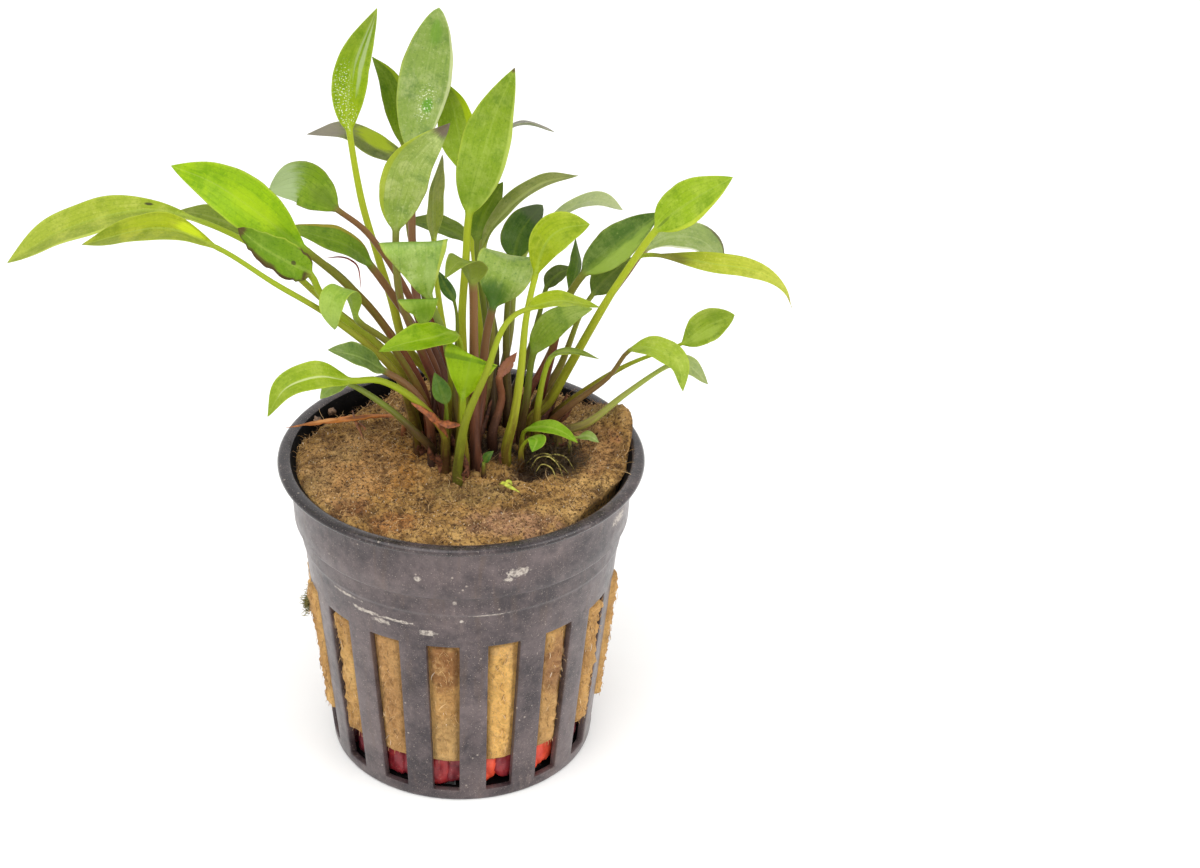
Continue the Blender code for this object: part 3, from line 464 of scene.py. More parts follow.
# Both faces of the wall, the sides of its open slots and the top of the lip
def wallFaces(rows, count):
    firstSlotRow = 3
    half = rows * count
    faces = []

    def isSlot(row, column):
        atSlots = firstSlotRow <= row < firstSlotRow + pot["slotRows"] - 1
        return atSlots and column % columnsPerSlot < pot["slotColumns"] - 1

    for row in range(rows - 1):
        for column in range(count):
            if isSlot(row, column):
                continue
            nextColumn = (column + 1) % count
            a = row * count + column
            b = row * count + nextColumn
            faces.append((a, b, b + count, a + count))
            faces.append((half + a, half + a + count, half + b + count, half + b))
            if isSlot(row, (column - 1) % count):
                faces.append((a, a + count, half + a + count, half + a))
            if isSlot(row, nextColumn):
                faces.append((b, half + b, half + b + count, b + count))
            if isSlot(row + 1, column):
                faces.append((a + count, b + count, half + b + count, half + a + count))
            if isSlot(row - 1, column):
                faces.append((b, a, half + a, half + b))
    last = (rows - 1) * count
    for column in range(count):
        a, b = last + column, last + (column + 1) % count
        faces.append((a, b, half + b, half + a))
    return faces


# The floor plate, ring by ring from the wall to the middle, with every second slot open
def addPotFloor(points, inside, faces, count, half):
    under, upper = [list(range(count))], [list(range(half, half + count))]
    for height, rings, isInside in ((0.0, under, False), (pot["floorThickness"], upper, True)):
        for radius in pot["floorRings"]:
            slotHalf = min(math.asin(pot["floorSlotWidth"] / 2 / radius), slotPitch * 0.45)
            rings.append(list(range(len(points), len(points) + count)))
            points.extend(placeAt(angle, radius, height) for angle in columnHeadings(slotHalf))
            inside.extend([isInside] * count)

    def isCut(ring, column):
        atSlot = column // columnsPerSlot % 2 == 0 and column % columnsPerSlot < pot["slotColumns"] - 1
        return 1 <= ring < 4 and atSlot

    for ring in range(len(under) - 1):
        underOut, underIn, upperOut, upperIn = under[ring], under[ring + 1], upper[ring], upper[ring + 1]
        for a in range(count):
            b = (a + 1) % count
            if not isCut(ring, a):
                faces.append((underOut[a], underIn[a], underIn[b], underOut[b]))
                faces.append((upperOut[a], upperOut[b], upperIn[b], upperIn[a]))
                continue
            if not isCut(ring - 1, a):
                faces.append((underOut[b], underOut[a], upperOut[a], upperOut[b]))
            if not isCut(ring + 1, a):
                faces.append((underIn[a], underIn[b], upperIn[b], upperIn[a]))
            if not isCut(ring, (a - 1) % count):
                faces.append((underOut[a], underIn[a], upperIn[a], upperOut[a]))
            if not isCut(ring, b):
                faces.append((underIn[b], underOut[b], upperOut[b], upperIn[b]))
    faces.append(tuple(reversed(under[-1])))
    faces.append(tuple(upper[-1]))


def makePot():
    outer, inner = potSections()
    count = pot["slotCount"] * columnsPerSlot
    points, inside = [], []
    for section, isInner in ((outer, False), (inner, True)):
        for radius, height in section:
            for angle in wallHeadings(outerRadius(min(height, 36.0)), height):
                points.append(placeAt(angle, radius, height))
                inside.append(isInner and height < 49.9)
    faces = wallFaces(len(outer), count)
    addPotFloor(points, inside, faces, count, len(outer) * count)
    potPiece = makePiece("pot_shell", points, faces, makePotMaterial(), None, ["pot"])
    potPiece.data.materials.append(makeInnerWallMaterial())
    for face in potPiece.data.polygons:
        face.material_index = int(all(inside[corner] for corner in face.vertices))
    bevel = potPiece.modifiers.new("rounded_edges", "BEVEL")
    bevel.width = pot["edgeRounding"] * mm
    bevel.segments = 2
    bevel.limit_method = "ANGLE"
    bevel.angle_limit = math.radians(40)


# Rockwool: a displaced block with loose fibres on it

wool = {
    "bottom": 6.9, "edgeHeight": 49.4, "edgeInset": 0.75, "edgeDrop": 1.7, "crown": 0.9, "wave": 0.2,
    "topRadius": 24.8, "topRoughness": 1.5, "sideRoughness": 1.3, "noiseRadius": 23.0, "wallGap": 0.14,
    "bulgeFront": 0.5, "bulgeSide": 1.9, "shoulderHeight": 39.2,
    # where the wool swells through a slot, and over how much it fades at the slot's edges
    "slotHalfDeg": 5.2, "slotFadeDeg": 1.6, "slotFrom": 6.8, "slotTo": 30.4,
    "fadeBelow": 1.4, "fadeAbove": 0.8,
    # heading, spread and depth of each hollow of the top edge
    "hollows": ((58.0, 26.0, 1.9), (-135.0, 40.0, 3.8), (165.0, 35.0, 1.6)),
    "lumpHeading": 108.0, "lumpSpread": 23.0, "lumpReach": 2.1, "lumpHeight": 3.8,
    # x, y, radius and depth of the dips between and beside the stalks
    "pits": ((9.3, -6.0, 2.4, 2.0), (13.0, -2.0, 3.6, 1.2), (3.9, 0.4, 1.8, 1.0), (-2.5, 0.5, 1.8, 1.0),
             (18.4, -8.6, 1.0, 1.2), (19.8, -9.8, 1.0, 1.2), (21.2, -10.9, 1.0, 1.2)),
    "columns": 352, "sideRings": 74, "shoulderRings": 8, "topRings": 80,
    "topShades": ((140, 104, 50), (184, 140, 76), (218, 176, 108)),
    "slotShades": ((164, 120, 70), (206, 158, 94), (232, 186, 116)),
    "paintedHollowShade": (70, 44, 20), "poreShade": (58, 36, 18), "paintedCrestHighlight": (212, 172, 112),
    "fineShade": (228, 196, 146), "paintedGlintShade": (234, 206, 168),
    # tinted patches: middle, radii, colour and how strong each is. The five dark ones over the pits and the
    # cavity between the stalks are painted shade.
    "tints": (
        ((-13.0, -5.2, 50.0), (7.5, 8.0, 4.0), (208, 140, 58), 0.55),
        ((5.8, -21.2, 16.0), (2.8, 2.8, 14.0), (246, 194, 108), 0.75),
        ((-10.9, -19.1, 18.0), (2.8, 2.8, 16.0), (186, 140, 90), 0.6),
        ((-2.7, -21.6, 27.0), (2.8, 2.8, 5.0), (140, 90, 52), 0.7),
        ((-2.7, -21.6, 10.0), (2.8, 2.8, 6.0), (206, 170, 112), 0.5),
        ((14.4, -17.0, 22.0), (2.8, 2.8, 6.0), (128, 84, 64), 0.6),
        ((13.5, -17.4, 12.0), (2.8, 2.8, 7.0), (208, 166, 108), 0.4),
        ((-18.6, -12.0, 20.0), (3.0, 3.0, 12.0), (196, 152, 84), 0.4),
        ((-17.4, -0.8, 50.0), (2.4, 2.4, 3.0), (126, 122, 66), 0.5),
        ((-21.0, -7.1, 49.0), (2.2, 3.2, 3.0), (120, 112, 66), 0.5),
        ((-16.1, -15.2, 49.0), (3.0, 2.4, 3.0), (112, 58, 34), 0.7),
        ((-9.6, -19.4, 49.0), (3.4, 2.6, 3.0), (166, 92, 42), 0.5),
        ((7.0, -19.5, 49.0), (6.5, 3.4, 3.0), (178, 132, 112), 0.55),
        ((1.5, -12.0, 50.0), (6.0, 3.2, 3.0), (128, 112, 66), 0.45),
        # painted shade: these five darken the pits and the cavity between the stalks
        ((9.3, -6.0, 49.0), (2.4, 2.2, 4.0), (58, 30, 18), 0.85),
        ((13.2, -2.4, 50.0), (5.4, 4.8, 4.0), (34, 25, 14), 0.95),
        ((19.8, -9.8, 49.6), (1.2, 1.2, 2.0), (44, 26, 18), 0.7),
        ((4.2, 0.8, 50.0), (4.6, 3.6, 4.0), (26, 16, 12), 0.95),
        ((-2.5, 1.5, 50.0), (3.0, 3.0, 4.0), (66, 44, 24), 0.7),
        ((22.6, 1.5, 52.5), (2.0, 2.4, 2.0), (150, 82, 56), 0.6),
        ((21.0, 9.0, 53.0), (3.5, 3.5, 2.5), (138, 124, 72), 0.5),
        ((-16.5, -4.0, 50.0), (7.0, 9.0, 4.0), (214, 168, 112), 0.5),
        ((19.6, -1.0, 51.5), (4.0, 6.0, 4.0), (190, 138, 94), 0.4)),
}


def nearness(angle, headingDeg, spreadDeg):
    away = (math.degrees(angle) - headingDeg + 180.0) % 360.0 - 180.0
    if abs(away) >= spreadDeg:
        return 0.0
    return 0.5 + 0.5 * math.cos(math.pi * away / spreadDeg)


def woolEdgeRadius(angle):
    hollow = sum(depth * nearness(angle, at, spread) for at, spread, depth in wool["hollows"])
    return wool["topRadius"] - hollow


def plugTop(x, y):
    angle = math.atan2(x, -y)
    spread = min(1.0, math.hypot(x, y) / wool["topRadius"])
    wave = noise.noise(Vector((x * 0.16, y * 0.16, 4.0)))
    lump = wool["lumpHeight"] * nearness(angle, wool["lumpHeading"], wool["lumpSpread"]) * spread ** 4
    crown = wool["crown"] * (1.0 - spread ** 2) + wool["wave"] * wave * (1.0 - spread ** 4)
    return wool["edgeHeight"] + crown + lump


def unevenness(x, y, z):
    total = 0.0
    for scale, size in ((0.28, 0.3), (0.75, 0.28), (1.7, 0.24), (3.4, 0.14)):
        total += size * noise.noise(Vector((x * scale, y * scale, z * scale + 7.0 * size)))
    return total


def woolTop(x, y):
    height = plugTop(x, y) + wool["topRoughness"] * unevenness(x, y, 0.0)
    for pitX, pitY, radius, depth in wool["pits"]:
        far = math.hypot(x - pitX, y - pitY) / radius
        if far < 1.6:
            height -= depth * (0.5 + 0.5 * math.cos(math.pi * min(1.0, far / 1.6)))
    return height


def woolRadius(angle, height):
    pitch = math.degrees(slotPitch)
    offset = (math.degrees(angle) - pot["slotPhaseDeg"] + pitch / 2) % pitch
    offset = min(offset, pitch - offset)
    window = held((wool["slotHalfDeg"] - offset) / wool["slotFadeDeg"])
    window *= held((height - wool["slotFrom"]) / wool["fadeBelow"])
    window *= held((wool["slotTo"] - height) / wool["fadeAbove"])
    bulge = wool["bulgeFront"] + (wool["bulgeSide"] - wool["bulgeFront"]) * math.sin(angle) ** 6
    place = heading(angle) * wool["noiseRadius"]
    swell = bulge + wool["sideRoughness"] * unevenness(place[0], place[1], height) + 0.1
    return innerRadius(height) - wool["wallGap"] + eased(window) * swell


def makeWoolMaterial():
    material, tree, shader = newMaterial("fibrous_rockwool", Roughness=0.85, Specular_IOR_Level=0.35)
    place = placeInMm(tree)
    height = splitParts(tree, place)["Z"]
    shade = ramp(tree, grain(tree, place, 0.16, 3.0, 0.6), list(zip((0.3, 0.5, 0.72), wool["topShades"])))
    # paler and smoother in the slots than on top
    along = grain(tree, placeInMm(tree, (1, 1, 0.35)), 0.22, 3.0, 0.6)
    slotShade = ramp(tree, along, list(zip((0.3, 0.5, 0.7), wool["slotShades"])))
    shade = blend(tree, smooth(tree, height, 40.0, 34.0), shade, slotShade)
    shade = paintPatches(tree, place, shade, wool["tints"], 0.7, 0.5)
    fine = grain(tree, place, 2.1, 5.0, 0.75, 0.4)
    onTop = smooth(tree, height, 34.0, 44.0, 0.25, 1.0)
    # painted shade in the lows of the wool's relief, weaker on the side, and a painted highlight on its
    # crests
    relief = attribute(tree, "relief", "Fac")
    hollows = times(tree, smooth(tree, relief, 0.02, -0.2, 0.0, 0.6), onTop)
    pores = times(tree, smooth(tree, fine, 0.53, 0.38, 0.0, 0.95), onTop)
    shade = blend(tree, hollows, shade, wool["paintedHollowShade"])
    shade = blend(tree, smooth(tree, relief, 0.1, 0.3, 0.0, 0.35), shade, wool["paintedCrestHighlight"])
    shade = blend(tree, pores, shade, wool["poreShade"])
    shade = blend(tree, smooth(tree, fine, 0.6, 0.8, 0.0, 0.6), shade, wool["fineShade"])
    # painted highlights: pale specks that stand in for glints of lit fibre tips
    paintedGlints = smooth(tree, grain(tree, place, 4.2, 3.0, 0.6), 0.64, 0.74, 0.0, 0.65)
    shade = blend(tree, paintedGlints, shade, wool["paintedGlintShade"])
    finishSkin(tree, shader, shade, plus(tree, fine, grain(tree, place, 4.5, 3.0, 0.7)), 0.35, 0.9)
    return material


def makeWool():
    columns = wool["columns"]
    turns = [math.radians(pot["slotPhaseDeg"]) + math.tau * i / columns for i in range(columns)]
    lumps = [nearness(a, wool["lumpHeading"], wool["lumpSpread"]) for a in turns]
    # the underside, then the side with its bulges
    rows = [[placeAt(a, woolRadius(a, 6.6) * share, wool["bottom"] + lift) for a in turns]
            for share, lift in ((0.5, 0.5), (0.8, 0.2), (0.94, 0.0))]
    shoulder = wool["shoulderHeight"]
    for height in [*np.linspace(wool["bottom"] + 0.3, wool["slotTo"] + 0.4, wool["sideRings"]),
                   *np.linspace(wool["slotTo"] + 1.0, shoulder, wool["shoulderRings"])]:
        rows.append([placeAt(a, woolRadius(a, height), height) for a in turns])
    # inside the collar, out towards the rim
    for share in (0.25, 0.5, 0.75, 0.92):
        height = shoulder + (wool["edgeHeight"] - wool["edgeDrop"] - shoulder) * share
        ring = []
        for a, lump in zip(turns, lumps):
            low = woolRadius(a, shoulder)
            high = woolEdgeRadius(a) - wool["edgeInset"] * (1.0 - 0.8 * lump)
            place = heading(a) * (low + (high - low) * share)
            place *= 1 + 0.012 * unevenness(place[0], place[1], height)
            ring.append(place + np.array([0, 0, height]))
        rows.append(ring)
    # the top, ring by ring to the middle
    for ringShare in np.linspace(1.0, 0.015, wool["topRings"]):
        falls = max(0.0, (ringShare - 0.93) / 0.07) ** 2 * 0.7
        ring = []
        for a, lump in zip(turns, lumps):
            place = heading(a) * (woolEdgeRadius(a) * ringShare + wool["lumpReach"] * lump * ringShare ** 4)
            ring.append(place + np.array([0, 0, woolTop(place[0], place[1]) - falls]))
        rows.append(ring)
    points = [p for row in rows for p in row]
    relief = []
    for x, y, z in points:
        out = heading(math.atan2(x, -y)) * wool["noiseRadius"]
        relief.append(unevenness(x, y, 0.0) if z > 47.0 else unevenness(out[0], out[1], z))
    faces = [tuple(reversed(f)) for f in ringFaces(len(rows), columns)]
    makePiece("rockwool_block", points, faces, makeWoolMaterial(), {"relief": relief},
              ["rockwool_plug"])


# Loose threads of the wool

fibres = {
    "topCount": 7600, "sideCount": 2800, "longShare": 0.1, "fleckShare": 0.1,
    "longLength": (1.4, 3.0), "shortLength": (0.35, 1.2), "fleckLength": 0.16, "sideLength": (0.5, 1.5),
    "radius": (0.022, 0.045), "fleckRadius": (0.05, 0.08), "sideRadius": (0.022, 0.05),
    "topLift": (0.05, 0.35), "sideLift": (0.04, 0.2), "topCurl": 0.35, "sideCurl": 0.14,
    "sideSpreadDeg": 4.4, "sideHeights": (7.6, 29.8),
    "shades": ((60, 38, 18), (146, 102, 52), (208, 164, 102), (238, 204, 152), (250, 242, 228)),
    # painted shade in the hollows round the stalks: middle and radii of each
    "hollows": (((9.3, -6.0, 49.5), (3.0, 2.8, 4.0)), ((13.2, -2.4, 50.0), (5.6, 5.0, 4.0)),
                ((3.6, 0.8, 50.0), (5.6, 3.8, 4.0))),
    "paintedHollowShade": (46, 32, 18), "paintedShadeAmount": 0.85,
}
threadSteps, threadSides = 5, 3
pointsPerThread = threadSteps * threadSides


def makeFibreMaterial():
    material, tree, shader = newMaterial("wool_fibres", Roughness=0.5)
    place = placeInMm(tree)
    shade = ramp(tree, attribute(tree, "shade", "Fac"),
                 list(zip((0.0, 0.35, 0.65, 0.93, 1.0), fibres["shades"])))
    dim = smooth(tree, grain(tree, place, 0.3, 2.0), 0.35, 0.65, 0.75, 1.05)
    grey = addNode(tree, "CombineColor", {0: dim, 1: dim, 2: dim}).outputs[0]
    # painted shade over the fibres in those hollows
    hollows = [(middle, radii, fibres["paintedHollowShade"], fibres["paintedShadeAmount"])
               for middle, radii in fibres["hollows"]]
    shade = paintPatches(tree, place, blend(tree, 1.0, shade, grey, "MULTIPLY"), hollows)
    finishSkin(tree, shader, shade, grain(tree, place, 6.0, 2.0), 0.03, 0.4)
    return material


# Many thin curved threads as one mesh. Each row of starts, ways and lifts is one thread.
def threadMesh(starts, ways, lifts, lengths, radii, curls):
    count, steps, sides = len(starts), threadSteps, threadSides
    share = np.linspace(0.0, 1.0, steps)[None, :, None]
    side = np.cross(ways, lifts)
    side /= np.linalg.norm(side, axis=1, keepdims=True) + 1e-9
    spine = (starts[:, None, :] + ways[:, None, :] * lengths[:, None, None] * share
             + lifts[:, None, :] * np.sin(np.pi * share * 0.8)
             + side[:, None, :] * curls[:, None, None] * np.sin(np.pi * share) * lengths[:, None, None])
    normal = np.cross(ways, side)
    angle = np.arange(sides) * math.tau / sides
    ringAcross = side[:, None, None, :] * np.cos(angle)[None, None, :, None]
    ringUp = normal[:, None, None, :] * np.sin(angle)[None, None, :, None]
    taper = (1.0 - 0.6 * np.abs(2 * share - 1.0) ** 2)[:, :, :, None]
    points = spine[:, :, None, :] + (ringAcross + ringUp) * radii[:, None, None, None] * taper
    first = np.arange(count)[:, None] * pointsPerThread
    ringStart = first[:, :, None] + np.arange(steps - 1)[None, :, None] * sides
    k = np.arange(sides)[None, None, :]
    nextK = (k + 1) % sides
    nextRing = ringStart + sides
    around = np.stack([ringStart + k, ringStart + nextK, nextRing + nextK, nextRing + k], -1)
    startCaps = first + np.arange(sides)[::-1]
    endCaps = first + (steps - 1) * sides + np.arange(sides)
    return points.reshape(-1, 3), around.reshape(-1, 4).tolist() + startCaps.tolist() + endCaps.tolist()


def joinThreads(name, starts, ways, lifts, lengths, radii, curls, shade, material):
    ways = unitRows(np.array(ways))
    points, faces = threadMesh(np.array(starts), ways, np.array(lifts), lengths, radii, curls)
    makePiece(name, points, faces, material, {"shade": np.repeat(shade, pointsPerThread)})


def drawn(rng, key, count):
    return rng.uniform(*fibres[key], count)


def makeTopFibres(rng, material):
    starts, ways, lifts = [], [], []
    for _ in range(fibres["topCount"]):
        angle, share = rng.uniform(0, math.tau), math.sqrt(rng.uniform(0.0, 0.985))
        x, y, _ = heading(angle) * woolEdgeRadius(angle) * share
        starts.append((x, y, woolTop(x, y) - 0.12))
        turn = rng.uniform(0, math.tau)
        ways.append((math.cos(turn), math.sin(turn), rng.uniform(0.05, 0.9)))
        lifts.append((0.0, 0.0, rng.uniform(*fibres["topLift"])))
    count = len(starts)
    kind = rng.uniform(0, 1, count)
    isLong, isFleck = kind < fibres["longShare"], kind > 1.0 - fibres["fleckShare"]
    lengths = np.where(isLong, drawn(rng, "longLength", count), drawn(rng, "shortLength", count))
    lengths = np.where(isFleck, fibres["fleckLength"], lengths)
    radii = np.where(isFleck, drawn(rng, "fleckRadius", count), drawn(rng, "radius", count))
    curls = rng.uniform(-fibres["topCurl"], fibres["topCurl"], count)
    # flecks take the palest shades, near white: painted glints of lit fibre tips
    shade = np.where(isFleck, rng.uniform(0.9, 1.0, count), rng.beta(1.3, 1.7, count) * 0.93)
    joinThreads("wool_fibres_top", starts, ways, lifts, lengths, radii, curls, shade, material)


def makeSideFibres(rng, material):
    spread = fibres["sideSpreadDeg"]
    starts, ways, lifts = [], [], []
    for _ in range(fibres["sideCount"]):
        slot = rng.integers(0, pot["slotCount"])
        angle = slotAngle(slot) + math.radians(rng.uniform(-spread, spread))
        height = rng.uniform(*fibres["sideHeights"])
        out = heading(angle)
        across = np.array([-out[1], out[0], 0.0])
        starts.append(placeAt(angle, woolRadius(angle, height) - 0.1, height))
        leaning = across * rng.normal(0, 0.45)
        upright = np.array([0, 0, rng.choice([-1.0, 1.0])])
        ways.append(leaning + upright + out * rng.uniform(-0.1, 0.25))
        lifts.append(out * rng.uniform(*fibres["sideLift"]))
    count = len(starts)
    lengths = drawn(rng, "sideLength", count)
    radii = drawn(rng, "sideRadius", count)
    curls = rng.uniform(-fibres["sideCurl"], fibres["sideCurl"], count)
    shade = rng.beta(2.6, 1.8, count)
    joinThreads("wool_fibres_side", starts, ways, lifts, lengths, radii, curls, shade, material)


# The top's threads and the side's are drawn one after the other from one generator
def makeWoolFibres():
    rng = np.random.default_rng(7)
    material = makeFibreMaterial()
    makeTopFibres(rng, material)
    makeSideFibres(rng, material)


# Clay lumps under the wool

clay = {
    # heading in degrees, middle height and how red each lump at the front is: 0 dark maroon, 1 orange red
    "front": ((-56, 4.0, 0.1), (-45, 4.3, 0.05), (-33.5, 4.2, 0.34), (-24.5, 4.4, 0.24), (-11.5, 4.1, 0.42),
              (-2.5, 4.5, 0.22), (10.5, 4.3, 0.95), (20, 4.6, 0.38), (33, 4.1, 0.9), (42, 4.8, 0.86),
              (53, 4.2, 0.2), (63, 4.4, 0.05)),
    "backCount": 18, "innerCount": 22, "radius": 17.25, "innerRadius": 13.0, "innerTurnDeg": 137.5,
    "middleHeight": 4.3, "size": (1.85, 2.0), "height": (2.7, 2.85), "blockiness": 4.6,
    "colours": ((64, 14, 26), (136, 26, 38), (192, 48, 42), (240, 84, 48)), "paintedGlintPink": (240, 156, 136),
}


def makeClayMaterial():
    material, tree, shader = newMaterial("fired_clay", Roughness=0.5, Coat_Weight=0.25, Coat_Roughness=0.3)
    place = placeInMm(tree)
    uneven = times(tree, calc(tree, "SUBTRACT", grain(tree, place, 0.6), 0.5), 0.7)
    redness = plus(tree, attribute(tree, "shade", "Fac"), uneven)
    positions = np.linspace(0.0, 1.0, len(clay["colours"]))
    shade = ramp(tree, redness, list(zip(positions, clay["colours"])))
    # painted highlights: pinkish spots that stand in for glints on the wet clay
    paintedClayGlints = smooth(tree, grain(tree, place, 2.2, 3.0, 0.7), 0.6, 0.75, 0.0, 0.5)
    shade = blend(tree, paintedClayGlints, shade, clay["paintedGlintPink"])
    finishSkin(tree, shader, shade, grain(tree, place, 1.6, 5.0, 0.65), 0.3, 0.7)
    return material


def sphereMesh(subdivisions):
    bm = bmesh.new()
    bmesh.ops.create_icosphere(bm, subdivisions=subdivisions, radius=1.0)
    corners = np.array([v.co[:] for v in bm.verts])
    faces = np.array([[v.index for v in f.verts] for f in bm.faces])
    bm.free()
    return corners, faces


# Heading, radius, middle height and redness of each lump: the front ones, the rest of the ring, the middle
def clayPlaces(rng):
    lumps = [(turn, clay["radius"], height, tone) for turn, height, tone in clay["front"]]
    middle = clay["middleHeight"]
    first, last = clay["front"][-1][0], clay["front"][0][0] + 360
    for i in range(clay["backCount"]):
        turn = first + (last - first) * (i + 1) / (clay["backCount"] + 1)
        lumps.append((turn, clay["radius"], middle + rng.uniform(-0.2, 0.3), rng.uniform(0.0, 0.6)))
    for i in range(clay["innerCount"]):
        turn = i * clay["innerTurnDeg"]
        radius = clay["innerRadius"] * math.sqrt((i + 0.5) / clay["innerCount"])
        lumps.append((turn, radius, middle + rng.uniform(-0.3, 0.2), rng.uniform(0.0, 0.7)))
    return lumps


def makeClay():
    rng = np.random.default_rng(11)
    corners, ballFaces = sphereMesh(4)
    blocky = clay["blockiness"]
    points, faces, shades = [], [], []
    for index, (turn, radius, height, tone) in enumerate(clayPlaces(rng)):
        out = heading(math.radians(turn))
        along = np.array([-out[1], out[0], 0.0])
        middle = placeAt(math.radians(turn), radius, height)
        deep, wide, tall = [rng.uniform(*clay[key]) for key in ("size", "size", "height")]
        offset = rng.uniform(0, 50, 3)
        for ball in corners:
            corner = ball / np.sum(np.abs(ball) ** blocky) ** (1 / blocky)
            where = Vector(ball * 1.1 + offset)
            bumpy = 0.9 + 0.2 * noise.noise(where) + 0.08 * noise.noise(where * 2.7)
            shape = out * corner[0] * deep + along * corner[1] * wide + np.array([0, 0, corner[2] * tall])
            points.append(middle + shape * bumpy)
        faces.append(ballFaces + index * len(corners))
        shades += [tone] * len(corners)
    makePiece("clay_lumps", points, np.concatenate(faces), makeClayMaterial(), {"shade": shades},
              ["clay_gravel"])


# Leaves

# Finish shared by leaves of one kind. A leaf may change any of it in its own entry.
leafKinds = {
    "leaf_bright": {
        "vein": (112, 146, 16), "veinAmount": 0.22, "midrib": (178, 200, 84), "margin": (188, 204, 70),
        "under": (158, 182, 66), "glow": 0.3, "roughness": 0.36, "gloss": 0.16,
        "stalkShades": ((84, 56, 32), (142, 132, 42), (160, 178, 42))},
    # Sheen leaves: their pale, greyish shades and bluish lighter patches hold painted reflection as well as
    # their own green
    "leaf_sheen": {
        "vein": (112, 140, 52), "veinAmount": 0.22, "midrib": (168, 188, 100), "margin": (178, 194, 74),
        "under": (150, 174, 76), "glow": 0.22, "roughness": 0.4, "gloss": 0.4,
        "lighter": (42, 30, 56), "deeper": (-52, -42, -26),
        "stalkShades": ((74, 48, 34), (132, 112, 52), (134, 152, 52))},
    "leaf_dark": {
        "vein": (66, 94, 14), "veinAmount": 0.3, "midrib": (134, 156, 56), "margin": (134, 144, 50),
        "under": (126, 148, 54), "glow": 0.25, "roughness": 0.38, "gloss": 0.2,
        "stalkShades": ((64, 40, 28), (108, 88, 40), (122, 136, 38))},
    "leaf_olive": {
        "vein": (78, 88, 30), "veinAmount": 0.35, "midrib": (154, 166, 82), "margin": (166, 178, 70),
        "under": (148, 162, 72), "glow": 0.25, "roughness": 0.4, "gloss": 0.25,
        "stalkShades": ((76, 50, 32), (130, 114, 46), (146, 156, 52))},
    "leaf_pale": {
        "vein": (120, 140, 72), "veinAmount": 0.25, "midrib": (178, 192, 124), "margin": (194, 202, 132),
        "under": (148, 162, 90), "glow": 0.22, "roughness": 0.42, "gloss": 0.4,
        "stalkShades": ((82, 56, 36), (142, 132, 60), (160, 174, 70))},
    "leaf_dry": {
        "vein": (112, 62, 36), "veinAmount": 0.5, "midrib": (190, 130, 84), "margin": (116, 62, 36),
        "under": (150, 90, 50), "glow": 0.12, "roughness": 0.6, "gloss": 0.15,
        "stalkShades": ((120, 72, 44), (160, 104, 66), (176, 116, 76))},
}

# Shape shared by all leaves, which a leaf may change too. A folded blade has its widest place at the fold.
leafShape = {
    "cup": 0.25, "widest": 0.42, "blunt": 0.85, "footRadius": 0.85, "ripple": 0.05, "waves": 2.5,
    "tatter": 0.03, "thickness": 0.3, "slimness": 0.74, "taper": 1.6, "fold": None, "foldSpread": 0.85,
    "lean": 0.0, "ragged": 0.0, "rootDepth": 1.6, "rootLift": 0.3, "uprightFoot": 2.5,
    "ringPoints": 30, "stalkSpacing": 1.1, "bladeSpacing": 0.5,
    "marks": (), "halves": None, "lighter": (28, 20, 40), "deeper": (-38, -32, -14), "mottle": 0.75,
    "paintedGlints": (), "paintedGlintShade": (236, 244, 206),
    # linear factors on the light that comes through
    "throughTint": (1.0, 0.93, 0.4, 1.0),
}

# Stalk colours that several leaves share, from the foot up to the neck
darkStalk = ((58, 36, 26), (92, 72, 38), (118, 132, 40))
salmonStalk = ((66, 40, 30), (124, 74, 50), (136, 98, 58))
reddishStalk = ((74, 42, 32), (132, 72, 50), (128, 128, 44))
yellowStalk = ((112, 92, 36), (168, 172, 44), (182, 196, 50))

